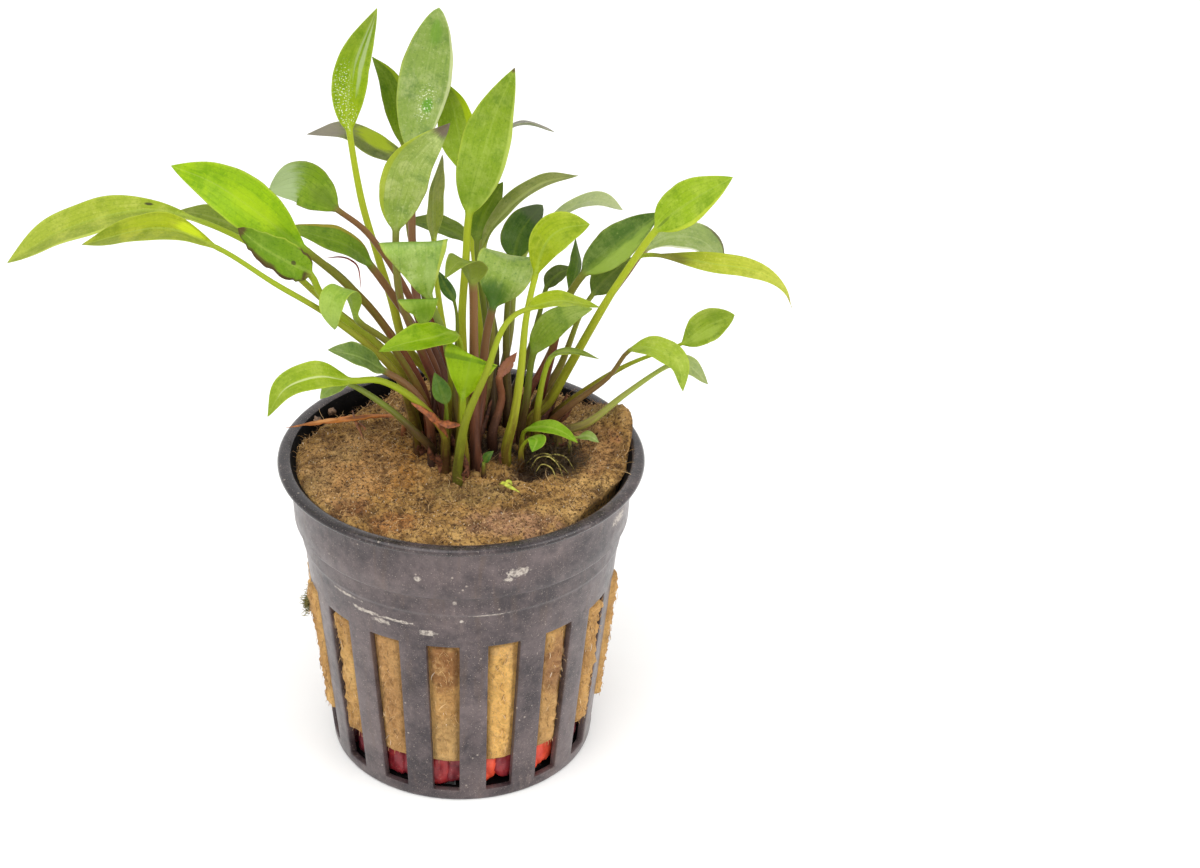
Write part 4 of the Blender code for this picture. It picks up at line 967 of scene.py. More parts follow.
leftLeaves = {
    "leaf_far_left": dict(
        kind="leaf_bright", shades=((150, 172, 36), (164, 180, 46), (168, 182, 62)),
        halves=((136, 150, 66), 0.55),
        marks=(((0.27, 0.55), (0.02, 0.12), (60, 58, 30), 0.9),
               ((0.4, -0.93), (0.5, 0.12), (196, 208, 96), 0.8)),
        foot=(-6.4, 3.8), stalk=[(-10, 1, 65), (-19, 2, 73.5), (-27, 4.5, 80)],
        blade=[(-37, 7, 84.5), (-46, 8, 85.9), (-57, 8, 82.9), (-65.5, 6, 78.5)], width=6.9, neck=0.55,
        face=(0, -0.4, 0.9), widest=0.6),
    "leaf_left_low": dict(
        kind="leaf_bright", shades=((152, 166, 14), (154, 168, 16), (150, 164, 50)),
        halves=((140, 154, 66), 0.7),
        marks=(((0.22, 0.4), (0.1, 0.4), (200, 218, 30), 0.8),
               ((0.5, 0.5), (0.2, 0.3), (168, 184, 26), 0.5)),
        foot=(-6.6, -1.0), stalk=[(-9.5, -5.5, 66.5), (-18, -6.8, 75.9), (-26, -8.9, 82.7)],
        blade=[(-33.5, -9.4, 88.4), (-41, -10.2, 91.7), (-52, -9, 88.7)], width=5.5, neck=0.5,
        face=(0, -0.35, 0.95), widest=0.5),
    "leaf_left_broad": dict(
        kind="leaf_bright", shades=((140, 178, 12), (150, 190, 8), (148, 182, 36)),
        # the first mark, paler in the middle of the blade, is a painted sheen
        marks=(((0.45, 0.1), (0.2, 0.4), (178, 208, 24), 0.6),
               ((0.12, -0.2), (0.15, 0.5), (112, 152, 8), 0.6)),
        lighter=(26, 18, 4), stalkShades=reddishStalk, foot=(-4.8, 2.2),
        stalk=[(-6.2, 3.2, 60), (-12, 4.5, 70), (-17, 3, 77)],
        blade=[(-22, 1.4, 82.6), (-28.2, -0.6, 89.3), (-34.2, -2, 94.7), (-40, -2, 97.4)], width=7.6,
        neck=0.75, face=(0.1, -0.8, 0.6), widest=0.52),
    "leaf_left_tucked": dict(
        kind="leaf_olive", shades=((120, 138, 24), (112, 132, 26), (128, 142, 48)), stalkShades=darkStalk,
        foot=(-6.4, 6.4), stalk=[(-9.2, 8.8, 62.6), (-13.3, 9, 69.1), (-20, 9.5, 76.6)],
        blade=[(-31, 9.5, 81.8), (-36.4, 9.5, 84.2), (-40.8, 9.5, 85.2)], width=4.2, neck=0.5,
        face=(0, -0.5, 0.85)),
    "leaf_left_curled": dict(
        kind="leaf_dark", shades=((112, 142, 10), (116, 148, 8), (150, 170, 90)),
        marks=(((0.86, 0.0), (0.26, 1.6), (170, 188, 138), 0.85),
               ((0.2, 0.0), (0.2, 0.5), (92, 120, 6), 0.6)),
        stalkShades=salmonStalk, foot=(-3.8, 8.0),
        stalk=[(-4.5, 9.4, 59.2), (-7.4, 12, 69), (-13.2, 13.5, 78.9)],
        blade=[(-18.2, 14, 83.3), (-20.9, 15, 85.2), (-24, 15.5, 86.9), (-28, 13, 87)], width=6.8, neck=0.6,
        face=(-0.1, -0.8, 0.6), widest=0.5, blunt=0.7),
    "leaf_left_inner": dict(
        kind="leaf_dark", shades=((104, 134, 10), (108, 138, 14), (116, 144, 34)),
        marks=(((0.5, 0.92), (0.5, 0.14), (154, 136, 42), 0.8),), stalkShades=salmonStalk, foot=(-3.6, 5.6),
        stalk=[(-3.7, 7, 59.3), (-6.9, 8.6, 66.2)],
        blade=[(-13.1, 9, 76.3), (-16.2, 8, 80), (-20.5, 7, 82.2), (-25.4, 6, 84.3)], width=5.2, neck=0.85,
        face=(0, -0.4, 0.9)),
    "leaf_left_browned": dict(
        kind="leaf_bright", shades=((124, 158, 14), (112, 150, 10), (100, 132, 20)),
        marks=(((0.5, -0.98), (0.5, 0.17), (70, 46, 24), 0.95),
               ((0.62, -0.8), (0.2, 0.2), (84, 62, 30), 0.8),
               ((0.04, -0.5), (0.06, 0.5), (78, 50, 28), 0.9),
               ((0.1, 0.95), (0.14, 0.12), (80, 54, 28), 0.9),
               ((0.24, 0.1), (0.03, 0.12), (66, 50, 26), 0.8),
               ((0.97, 0.0), (0.06, 1.2), (86, 58, 32), 0.85)),
        ragged=0.16, foot=(-6.6, 1.2),
        stalk=[(-8.7, -1, 64.1), (-12.9, -1.5, 69.6), (-16.7, -2, 73.2), (-19.9, -2.6, 77.6)],
        blade=[(-21.4, -3, 81.2), (-24.5, -4, 83.6), (-27.8, -4.8, 86.2), (-31, -5, 89.3)], width=5.8,
        neck=0.7, face=(0.2, -0.7, 0.7), widest=0.36, blunt=0.6),
    "leaf_left_folded": dict(
        kind="leaf_bright", shades=((140, 170, 34), (150, 182, 56), (164, 190, 88)),
        stalkShades=reddishStalk, foot=(-4.8, -0.5),
        stalk=[(-5.5, -3, 60.5), (-9.6, -4, 69.5), (-11.9, -4, 71.9)],
        blade=[(-14.8, -4.2, 74.4), (-15.3, -5, 78.1), (-16.3, -6.5, 80.6), (-17.6, -8.5, 80.7),
               (-18.2, -9.5, 78.5), (-17.8, -9.5, 75.7)],
        width=4.6, neck=0.7, face=(0, 0, 1), cup=0.1, widest=0.6, blunt=0.7),
    "leaf_back_left": dict(
        kind="leaf_olive", shades=((104, 116, 46), (112, 124, 50), (134, 130, 104)), veinAmount=0.6,
        marks=(((0.34, 0.5), (0.2, 0.55), (172, 190, 30), 0.85),
               ((0.86, 0.0), (0.22, 1.5), (142, 134, 122), 0.8)),
        stalkShades=darkStalk, foot=(-0.4, 10.6),
        stalk=[(-4.4, 17, 62.8), (-6.9, 21.5, 71.6), (-7.8, 27, 78.2)],
        blade=[(-9, 29.5, 83.8), (-12.7, 31, 85.6), (-17.7, 32, 88), (-23.4, 31, 88)], width=4.8, neck=0.55,
        face=(0, -0.4, 0.9), widest=0.34),
}

tallLeaves = {
    "leaf_tall_left": dict(
        kind="leaf_bright", shades=((164, 184, 16), (140, 172, 12), (140, 158, 62)),
        marks=(((0.62, 0.5), (0.3, 0.12), (190, 206, 150), 0.7),
               ((0.7, 0.15), (0.26, 0.08), (184, 200, 140), 0.6)),
        paintedGlints=(((0.2, -0.3), (0.2, 0.5)), ((0.36, -0.5), (0.16, 0.4)), ((0.1, 0.2), (0.1, 0.6))),
        stalkShades=yellowStalk, foot=(-2.6, 10.4),
        stalk=[(-5, 12, 57), (-8.6, 13, 61.2), (-10.5, 15, 67.8), (-12.8, 17, 75.3), (-14.9, 19, 82.9)],
        blade=[(-16.4, 20.5, 92.9), (-16.6, 21.5, 97.6), (-15.5, 22, 103.9), (-12, 22, 111.6)], width=5.4,
        neck=0.65, face=(0.2, -0.95, 0.2)),
    "leaf_tall_hidden": dict(
        kind="leaf_dark", shades=((124, 150, 20), (112, 140, 22), (104, 130, 30)),
        marks=(((0.6, 0.8), (0.5, 0.2), (162, 182, 30), 0.7),), stalkShades=reddishStalk, foot=(0.8, 8.0),
        stalk=[(-3.2, 14, 61.4), (-6.2, 18, 71.3), (-7.9, 22, 76.5)],
        blade=[(-8.7, 28, 87.6), (-9.2, 30, 91.8), (-10.8, 31, 96.9), (-13.2, 31, 100.6)], width=4.4,
        neck=0.5, face=(0.2, -0.95, 0.2)),
    "leaf_tall_centre": dict(
        kind="leaf_sheen", shades=((140, 166, 60), (144, 168, 74), (130, 158, 58)),
        marks=(((0.34, 0.3), (0.05, 0.2), (96, 158, 22), 0.85),
               ((0.84, 0.1), (0.09, 0.35), (112, 156, 34), 0.7),
               ((0.5, 0.95), (0.45, 0.08), (206, 214, 160), 0.7)),
        paintedGlints=(((0.38, 0.25), (0.09, 0.35)), ((0.27, 0.2), (0.05, 0.3))), stalkShades=salmonStalk,
        foot=(0.2, 5.6), stalk=[(-3.3, 10.6, 59), (-5.9, 13.5, 65.2), (-7.1, 17, 70.2), (-7.4, 20, 78.8)],
        blade=[(-7.2, 24, 87.8), (-6.1, 27, 94.5), (-4.7, 29, 101), (-3.1, 30, 108.8)], width=8.0,
        neck=0.75, face=(0, -0.97, 0.2), widest=0.5, blunt=0.64),
    "leaf_behind_tall": dict(
        kind="leaf_bright", shades=((150, 178, 34), (150, 178, 42), (146, 172, 36)),
        marks=(((0.5, 0.8), (0.5, 0.25), (186, 208, 20), 0.8),), stalkShades=yellowStalk, foot=(2.8, 6.8),
        stalk=[(2.8, 11.5, 59.4), (2.7, 15, 67.8), (1.7, 20.5, 75.9)],
        blade=[(1, 25, 84.2), (-0.1, 28, 89.1), (-1.4, 30, 94), (-3.4, 30, 97.8)], width=6.2, neck=0.6,
        face=(-0.3, -0.95, 0.2)),
    "leaf_centre_upright": dict(
        kind="leaf_sheen", shades=((160, 186, 66), (174, 196, 92), (158, 178, 90)),
        marks=(((0.45, -0.9), (0.4, 0.16), (184, 198, 48), 0.75),
               ((0.97, 0.0), (0.1, 1.6), (112, 92, 84), 0.9)),
        stalkShades=reddishStalk, foot=(-2.4, 3.2),
        stalk=[(-3.2, 4.6, 57.2), (-7.3, 6, 67.5), (-9.2, 7.5, 73.3)],
        blade=[(-9.5, 9, 82.2), (-8.5, 9, 88.8), (-6.6, 8, 94.4), (-1.5, 6, 100.5)], width=7.0, neck=0.7,
        face=(0.1, -0.95, 0.2)),
    "leaf_tall_right": dict(
        kind="leaf_bright", shades=((138, 168, 44), (146, 174, 46), (142, 170, 44)),
        marks=(((1.0, 0.0), (0.03, 1.2), (104, 88, 50), 0.9),
               ((0.5, 0.93), (0.4, 0.1), (196, 212, 104), 0.6)),
        stalkShades=yellowStalk, foot=(0.6, 3.4), stalk=[(0.4, 7, 57.5), (0.1, 10, 67), (0.7, 12, 75.7)],
        blade=[(1.2, 14, 82.5), (3, 16, 89.6), (4.8, 18, 95.8), (7.9, 18, 104.1)], width=7.5, neck=0.75,
        face=(-0.2, -0.95, 0.2)),
    "leaf_back_thin": dict(
        kind="leaf_pale", shades=((140, 148, 92), (134, 132, 108), (140, 134, 120)), foot=(3.0, 11.4),
        stalk=[(3.2, 19.5, 61.6), (3.2, 26, 75)],
        blade=[(4.5, 29.6, 86.2), (7.5, 31, 89), (10.5, 31, 89.7), (14.4, 30, 88.9)], width=4.0, neck=0.45,
        face=(0, 0.3, 0.95), blunt=0.7),
    "leaf_centre_edgewise": dict(
        kind="leaf_olive", shades=((132, 146, 36), (120, 132, 40), (112, 116, 64)), stalkShades=yellowStalk,
        foot=(0.4, 1.6), stalk=[(-1.2, 3.4, 60), (-3.2, 4, 73)],
        blade=[(-3.9, 4, 83), (-4, 4, 90.5), (-2.6, 3, 97)], width=5.0, neck=0.55, face=(0.86, -0.5, 0)),
    "leaf_back_crossing": dict(
        kind="leaf_dark", shades=((100, 124, 24), (96, 118, 26), (104, 120, 40)), stalkShades=darkStalk,
        foot=(4.8, 7.8), stalk=[(5.2, 15.5, 61), (3.2, 20, 69)],
        blade=[(1, 22.4, 74), (-3.2, 23.6, 76), (-8.5, 23.6, 77)], width=4.4, neck=0.55,
        face=(0, -0.3, 0.95)),
    "leaf_back_dark": dict(
        kind="leaf_dark", shades=((104, 132, 14), (108, 134, 14), (96, 118, 24)), stalkShades=darkStalk,
        foot=(4.6, 5.4), stalk=[(4.4, 9.5, 60.6), (3, 13.2, 71.2)],
        blade=[(2.4, 16, 77.2), (3.8, 18.5, 80.9), (6.3, 20, 85.1)], width=4.6, neck=0.55,
        face=(-0.3, -0.9, 0.3)),
}

centreLeaves = {
    "leaf_centre_broad": dict(
        kind="leaf_sheen", shades=((78, 122, 28), (134, 160, 52), (150, 174, 74)),
        marks=(((0.14, -0.3), (0.26, 0.9), (64, 106, 20), 0.8),
               ((0.97, 0.0), (0.05, 1.6), (170, 184, 110), 0.6)),
        stalkShades=salmonStalk, foot=(2.2, 0.8), stalk=[(3, 3, 58), (3.5, 3, 66.5)],
        blade=[(4.5, 3, 72.3), (5.8, 3, 76.7), (6.7, 5, 79), (7.2, 8.5, 78.6)], width=8.8, neck=0.8,
        face=(-0.1, -0.9, 0.4), widest=0.62, blunt=0.75),
    "leaf_centre_olive": dict(
        kind="leaf_olive", shades=((126, 146, 26), (116, 136, 22), (124, 142, 40)), stalkShades=salmonStalk,
        foot=(2.0, -5.6), stalk=[(1.9, -4.8, 58), (1.8, -3.4, 69)],
        blade=[(1.7, -3, 79.5), (1, -6, 84.5), (-0.6, -9.5, 86), (-2.2, -12, 85)], width=5.2, neck=0.85,
        face=(0, -0.2, 0.97)),
    "leaf_centre_pale": dict(
        kind="leaf_sheen", shades=((140, 170, 50), (144, 174, 66), (140, 170, 76)), vein=(130, 158, 60),
        marks=(((0.8, 0.0), (0.14, 2.0), (118, 148, 58), 0.85),
               ((0.5, 0.85), (0.3, 0.1), (186, 196, 60), 0.6),
               ((0.3, 0.3), (0.2, 0.4), (164, 192, 96), 0.5)),
        ripple=0.1, foot=(-0.2, -1.8), stalk=[(-1, -2.2, 60.2), (-2.1, -2.4, 69.4)],
        blade=[(-4.4, -2.4, 76.7), (-4.8, -2, 81), (-4.9, -1.4, 85), (-4.9, 0.2, 84.4), (-4.9, 1, 82.2)],
        width=10.2, neck=0.7, face=(0, -0.9, 0.4), cup=0.06, fold=0.7, lean=0.38),
    "leaf_centre_small": dict(
        kind="leaf_bright", shades=((124, 158, 34), (142, 174, 50), (150, 180, 70)),
        marks=(((0.4, 0.0), (0.2, 0.4), (104, 142, 24), 0.6),
               ((0.8, 0.0), (0.14, 2.0), (104, 140, 30), 0.8)),
        foot=(-2.2, -1.9), stalk=[(-2, -3.3, 59), (-1.6, -5.2, 70.2)],
        blade=[(-4.9, -5.2, 73.8), (-4.9, -5.4, 76), (-5, -5.5, 78.2), (-5, -4.6, 77.9), (-5, -4, 76.9)],
        width=6.0, neck=0.35, face=(0, -0.9, 0.4), cup=0.06, fold=0.7, lean=0.38),
    "leaf_front_bright": dict(
        kind="leaf_bright", shades=((126, 160, 4), (132, 168, 6), (130, 164, 16)), foot=(-0.4, -4.4),
        stalk=[(0, -5, 60), (0, -4.7, 69)],
        blade=[(-1, -6, 73.2), (-4.2, -9.7, 74.4), (-8, -11, 74.2), (-11.6, -12, 73.5)], width=6.4,
        neck=0.6, face=(0, -0.15, 0.98)),
    "leaf_front_upright": dict(
        kind="leaf_bright", shades=((138, 172, 4), (152, 188, 4), (154, 188, 16)),
        marks=(((0.69, 0.0), (0.03, 2.0), (96, 132, 20), 0.7),
               ((0.45, 0.1), (0.25, 0.3), (152, 188, 14), 0.6)),
        foot=(0.4, -6.9), stalk=[(0.2, -7.6, 57.6)],
        blade=[(0.2, -8.4, 63.6), (0.7, -8.9, 67.2), (1.4, -9, 71), (1.5, -8.3, 70.5), (1.6, -8, 69)],
        width=8.0, neck=0.6, face=(0, -0.9, 0.4), cup=0.06, fold=0.7),
    "leaf_front_dark": dict(
        kind="leaf_dark", shades=((92, 128, 30), (96, 134, 40), (100, 136, 50)), foot=(-2.6, -3.9),
        stalk=[(-2.2, -5.2, 57.4)], blade=[(-2.3, -5.8, 61.5), (-3, -6, 64.1), (-3.9, -5.8, 66.7)],
        width=2.8, neck=0.3, face=(0, -0.9, 0.4)),
    "leaf_centre_torn": dict(
        kind="leaf_dark", shades=((70, 104, 24), (72, 108, 28), (84, 116, 40)), foot=(-1.4, 0.0),
        stalk=[(-1.2, 0.4, 60), (-0.6, 1, 70)], blade=[(-1, 1, 74.7), (-2.2, 1, 77.1), (-3.3, 1, 79.7)],
        width=1.9, neck=0.3, face=(0.3, -0.9, 0.2)),
}

frontLeaves = {
    "leaf_front_left_arched": dict(
        kind="leaf_bright", shades=((140, 164, 24), (148, 172, 34), (144, 168, 44)),
        # the pale streak along the midrib is a painted highlight
        marks=(((0.42, -0.05), (0.34, 0.07), (214, 222, 160), 0.7),), foot=(-2.4, -6.0),
        stalk=[(-2.8, -7.2, 58), (-7, -9, 64.3), (-11.5, -11, 68.3)],
        blade=[(-15.5, -13, 69.4), (-20, -15, 71.2), (-24.5, -17, 70.4), (-27, -18, 66.5)], width=4.9,
        neck=0.65, face=(0.1, -0.45, 0.9)),
    "leaf_front_left_small": dict(
        kind="leaf_pale", shades=((158, 184, 62), (168, 194, 80), (176, 198, 100)), stalkShades=darkStalk,
        foot=(-4.4, -4.6), stalk=[(-6.3, -7.4, 57.2), (-10.5, -9.4, 62.9)],
        blade=[(-16, -11.2, 68), (-18.2, -12.3, 68), (-20, -13, 66.5)], width=2.9, neck=0.6,
        face=(0, -0.5, 0.85)),
    "leaf_front_left_grey": dict(
        kind="leaf_sheen", shades=((112, 136, 40), (104, 130, 46), (118, 140, 66)), under=(120, 142, 60),
        stalkShades=salmonStalk, foot=(-4.4, -2.7), stalk=[(-5, -5.5, 60), (-7.6, -6.8, 65)],
        blade=[(-11, -8, 68.2), (-14.5, -9.8, 71.4), (-18.7, -12, 73.8)], width=4.8, neck=0.7,
        face=(0, -0.4, 0.9)),
}

rightLeaves = {
    "leaf_arched_right": dict(
        kind="leaf_olive", shades=((120, 134, 40), (124, 136, 52), (140, 146, 84)),
        marks=(((0.5, 0.2), (0.4, 0.2), (164, 172, 96), 0.7),), foot=(2.4, 3.2),
        stalk=[(4.1, 7, 58.4), (4.6, 10, 68)],
        blade=[(3.4, 13, 77.5), (6.4, 15, 82.5), (11.7, 15, 87.1), (17.2, 13, 89.3)], width=4.2, neck=0.55,
        face=(-0.3, -0.25, 0.9)),
    "leaf_back_pale": dict(
        kind="leaf_pale", shades=((150, 164, 84), (158, 172, 104), (172, 182, 128)), foot=(5.2, 10.4),
        stalk=[(7.4, 16, 61), (8.6, 21, 69)],
        blade=[(12.2, 26, 74.4), (17, 28, 77), (21, 28, 78.3), (24.9, 26, 77.7)], width=4.4, neck=0.5,
        face=(0, -0.05, 1.0), widest=0.6),
    "leaf_back_round": dict(
        kind="leaf_dark", shades=((84, 116, 30), (80, 112, 36), (88, 112, 56)),
        marks=(((0.85, 0.0), (0.16, 1.5), (96, 106, 78), 0.7),), foot=(7.0, 7.4),
        stalk=[(6.8, 12.6, 62.2), (7.2, 16, 69)],
        blade=[(8, 18, 73.4), (9.3, 20.5, 76.9), (12.4, 22, 80.4)], width=5.8, neck=0.55,
        face=(-0.4, -0.8, 0.5), blunt=0.65),
    "leaf_right_yellow": dict(
        kind="leaf_bright", shades=((160, 176, 18), (156, 176, 22), (152, 174, 40)),
        stalkShades=yellowStalk, foot=(6.6, -3.6),
        stalk=[(7.7, -3.6, 58.2), (8.7, -1.6, 64.9), (9.4, 0.2, 72.2)],
        blade=[(10.7, 1.4, 78.6), (12.1, 2.4, 83.2), (14.5, 3.4, 85.2), (18.6, 4.4, 85.5)], width=5.6,
        neck=0.6, face=(0, -0.8, 0.6), widest=0.55),
    "leaf_right_long": dict(
        kind="leaf_bright", shades=((148, 178, 30), (154, 184, 32), (158, 186, 48)),
        marks=(((0.5, 0.92), (0.45, 0.12), (196, 210, 64), 0.7),
               ((0.1, 0.0), (0.1, 0.12), (92, 120, 20), 0.6)),
        stalkShades=yellowStalk, foot=(10.4, 4.4),
        stalk=[(13, 5.2, 55.4), (15.8, 4.9, 61.2), (20.6, 3.6, 72), (23.4, 2.8, 77.7)],
        blade=[(28, 1, 86.3), (32.5, 0, 91.1), (38.3, -1, 95.4)], width=6.4, neck=0.7,
        face=(-0.2, -0.8, 0.6)),
    "leaf_right_dark": dict(
        kind="leaf_dark", shades=((116, 146, 34), (108, 138, 36), (84, 114, 36)),
        halves=((66, 98, 30), 0.75),
        marks=(((0.35, 0.6), (0.4, 0.4), (164, 190, 74), 0.75),
               ((0.75, 0.5), (0.2, 0.3), (140, 168, 60), 0.6)),
        stalkShades=reddishStalk, foot=(11.6, 8.0), stalk=[(13.4, 10, 60), (15.5, 11.5, 68.5)],
        blade=[(18.3, 12.5, 73.4), (22.3, 13.2, 77), (26.2, 14, 80.1), (29.7, 14, 82.9)], width=6.0,
        neck=0.75, face=(-0.3, -0.8, 0.6)),
    "leaf_right_grey": dict(
        kind="leaf_pale", shades=((140, 160, 66), (146, 166, 84), (140, 156, 84)),
        marks=(((0.35, 0.95), (0.35, 0.1), (226, 228, 200), 0.8),
               ((0.98, 0.0), (0.06, 1.6), (66, 54, 40), 0.9),
               ((0.8, -0.95), (0.2, 0.12), (84, 74, 48), 0.8)),
        stalkShades=salmonStalk, foot=(13.5, 8.8), stalk=[(16, 9, 59), (20.8, 8.6, 69.2), (24.5, 8, 75.6)],
        blade=[(27, 8, 79.4), (30.4, 8, 81.6), (34.4, 8, 81.5), (36.9, 7, 80.2), (38.5, 6, 77.8)],
        width=5.2, neck=0.5, face=(0.05, -0.5, 0.85), widest=0.55),
    "leaf_far_right": dict(
        kind="leaf_bright", shades=((130, 138, 34), (184, 194, 54), (200, 202, 88)),
        marks=(((0.1, 0.3), (0.14, 1.2), (104, 96, 40), 0.7),
               ((0.97, 0.0), (0.05, 2.0), (170, 160, 84), 0.7)),
        foot=(11.4, 5.9),
        stalk=[(13.1, 7.2, 54.6), (15.8, 6.9, 60.1), (20.8, 5.6, 71), (24, 4.6, 77.8), (25.6, 3.8, 80.4)],
        blade=[(27.4, 3.2, 81.2), (31.3, 2.8, 80.9), (36.8, 1.6, 80.4), (41.2, 0.8, 80.1), (44.6, 0, 79.1),
               (46.9, -0.8, 77.3), (48, -1.4, 74.9)],
        width=4.0, neck=0.45, face=(0.1, -0.45, 0.9), widest=0.48, blunt=1.3),
    "leaf_right_spoon": dict(
        kind="leaf_bright", shades=((140, 166, 34), (146, 170, 44), (150, 172, 50)), veinAmount=0.4,
        marks=(((0.45, 0.4), (0.3, 0.25), (172, 194, 76), 0.6),
               ((0.7, -0.4), (0.2, 0.3), (124, 152, 30), 0.6)),
        foot=(14.2, 5.4), stalk=[(19.2, 3.5, 59), (25, 2.8, 63.4)],
        blade=[(32.6, 2, 67.2), (36.2, 2, 70.1), (40, 1, 72.5)], width=5.0, neck=0.32,
        face=(-0.1, -0.8, 0.6), widest=0.5, blunt=0.7),
    "leaf_right_drooping": dict(
        kind="leaf_bright", shades=((156, 178, 44), (158, 180, 50), (156, 178, 60)),
        stalkShades=((112, 74, 40), (118, 84, 56), (132, 110, 58)), foot=(13.4, 3.0),
        stalk=[(16.5, 1, 57.6), (21.6, 0, 62.6)],
        blade=[(24.6, -1, 67.7), (28.1, -3, 69), (31.3, -5, 67.6), (32.1, -7, 64.2)], width=5.0, neck=0.48,
        face=(0.3, -0.4, 0.85)),
    "leaf_right_small": dict(
        kind="leaf_pale", shades=((150, 168, 80), (152, 168, 88), (148, 160, 92)), foot=(14.6, 0.4),
        stalk=[(19.1, -0.8, 55.6), (24.2, -0.4, 60)],
        blade=[(30.3, 0, 64.5), (33.2, 0, 64.7), (36.4, -1, 62)], width=3.2, neck=0.5,
        face=(0.3, -0.5, 0.8)),
    "leaf_right_level": dict(
        kind="leaf_bright", shades=((158, 176, 22), (160, 178, 26), (156, 174, 40)),
        stalkShades=((96, 92, 34), (140, 148, 40), (160, 174, 40)), foot=(-0.6, -9.0),
        stalk=[(0.6, -10.4, 61.4), (3.5, -11, 69.5), (5.4, -10.4, 75.3), (7.2, -8.6, 77.2)],
        blade=[(9.6, -6.4, 77.4), (14.1, -4.2, 77.4), (20, -3, 75.8)], width=5.0, neck=0.55, face=(0, 0, 1)),
    "leaf_right_inner": dict(
        kind="leaf_dark", shades=((128, 156, 38), (140, 166, 52), (158, 180, 76)), stalkShades=darkStalk,
        foot=(8.8, 1.6), stalk=[(9.6, 1.2, 58)],
        blade=[(10.6, 2, 65.6), (13, 2.4, 69.5), (16, 2.6, 71.7), (19.2, 2.4, 72.8)], width=4.6, neck=0.7,
        face=(-0.3, -0.7, 0.6)),
    "leaf_right_narrow": dict(
        kind="leaf_bright", shades=((136, 154, 44), (134, 152, 50), (128, 142, 66)), foot=(11.2, 1.4),
        stalk=[(11.4, 0.8, 58)], blade=[(13, 0.6, 65.4), (16.2, 0.6, 66.6), (20.3, 0.6, 65.4)], width=1.9,
        neck=0.6, face=(0, -0.1, 1)),
    "leaf_right_edgewise": dict(
        kind="leaf_dark", shades=((100, 134, 14), (96, 130, 14), (92, 124, 20)), stalkShades=reddishStalk,
        foot=(9.2, 8.8), stalk=[(12.6, 12.8, 57.8), (15, 14.6, 62.9)],
        blade=[(16.6, 15.8, 68.2), (17.7, 16.8, 73.1), (17.3, 17.4, 77)], width=4.2, neck=0.5,
        face=(-0.9, -0.4, 0.1)),
    "leaf_back_right": dict(
        kind="leaf_dark", shades=((84, 104, 24), (82, 100, 28), (90, 106, 40)), stalkShades=darkStalk,
        foot=(7.4, 10.0), stalk=[(10.3, 14.6, 58.8), (12, 17.2, 64.4)],
        blade=[(13, 18.6, 68), (14.9, 19.4, 70), (17.2, 20, 70.8)], width=3.2, neck=0.5,
        face=(0, -0.4, 0.9)),
    "leaf_right_tucked": dict(
        kind="leaf_olive", shades=((110, 132, 36), (104, 126, 38), (112, 130, 50)), foot=(11.4, 10.0),
        stalk=[(15, 12.6, 57.4), (18, 14.6, 65.2)],
        blade=[(20, 15.5, 68.5), (22.6, 16.5, 71.2), (25.8, 17, 74)], width=4.8, neck=0.5,
        face=(-0.3, -0.8, 0.6)),
}

shoots = {
    "shoot_bright": dict(
        kind="leaf_bright", shades=((120, 160, 14), (124, 166, 14), (130, 168, 30)), foot=(9.0, -1.2),
        stalk=[], width=2.8, neck=0.4, face=(0, -0.3, 0.95),
        blade=[(9.6, -2, 54.9), (12.4, -3, 55.9), (14.9, -4, 55.6), (17.1, -5, 54.4)], footRadius=0.65),
    "shoot_front": dict(
        kind="leaf_bright", shades=((112, 156, 16), (116, 160, 18), (124, 164, 34)), foot=(8.8, -4.2),
        stalk=[], width=2.8, neck=0.35, face=(0, -0.6, 0.8),
        blade=[(10, -4.8, 55), (11, -6, 55.4), (10.3, -7.6, 54.4)], footRadius=0.6),
    "shoot_pale": dict(
        kind="leaf_pale", shades=((130, 156, 56), (134, 158, 64), (138, 160, 76)), foot=(16.2, -1.0),
        stalk=[], width=1.9, neck=0.3, face=(0, -0.3, 0.95),
        blade=[(17.4, -1.4, 53.2), (18.9, -1.8, 53.6), (20.4, -2.2, 52.8)], footRadius=0.5),
    "shoot_tiny": dict(
        kind="leaf_dark", shades=((76, 116, 36), (82, 122, 44), (88, 124, 52)), foot=(3.2, -7.8), stalk=[],
        width=1.3, neck=0.3, face=(0, -0.8, 0.6),
        blade=[(3.3, -7.6, 52.6), (3.8, -7.8, 53.9), (4.6, -8, 54.8)], footRadius=0.45),
}

deadParts = {
    "old_stalk": dict(
        kind="leaf_dry", shades=((168, 104, 70), (190, 132, 100), (168, 104, 74)), ragged=0.25,
        stalkShades=((52, 30, 22), (84, 54, 38), (150, 96, 66)), foot=(4.6, 0.8), stalk=[(6, 3.6, 57)],
        width=2.0, neck=0.7, face=(0, -0.9, 0.4),
        blade=[(5.6, 3.4, 60.7), (6.9, 3, 63.3), (8.2, 2.6, 65.5)], cup=0.5),
    "dried_leaf": dict(
        kind="leaf_dry", shades=((150, 84, 26), (190, 118, 44), (128, 72, 28)), ragged=0.6,
        marks=(((0.3, 0.0), (0.12, 0.6), (96, 52, 26), 0.7),
               ((0.62, 0.3), (0.1, 0.6), (222, 160, 96), 0.7)),
        foot=(-8.8, 4.9), stalk=[], width=2.0, neck=0.4, face=(0, 0, 1), cup=0.0,
        blade=[(-11, 6, 52.8), (-17, 6.2, 52.2), (-22, 5.6, 51.8), (-26.6, 5, 51.3)], footRadius=0.5),
}

leafGroups = (leftLeaves, tallLeaves, centreLeaves, frontLeaves, rightLeaves)


def shifted(shade, change):
    return [min(255, max(0, part + more)) for part, more in zip(shade, change)]


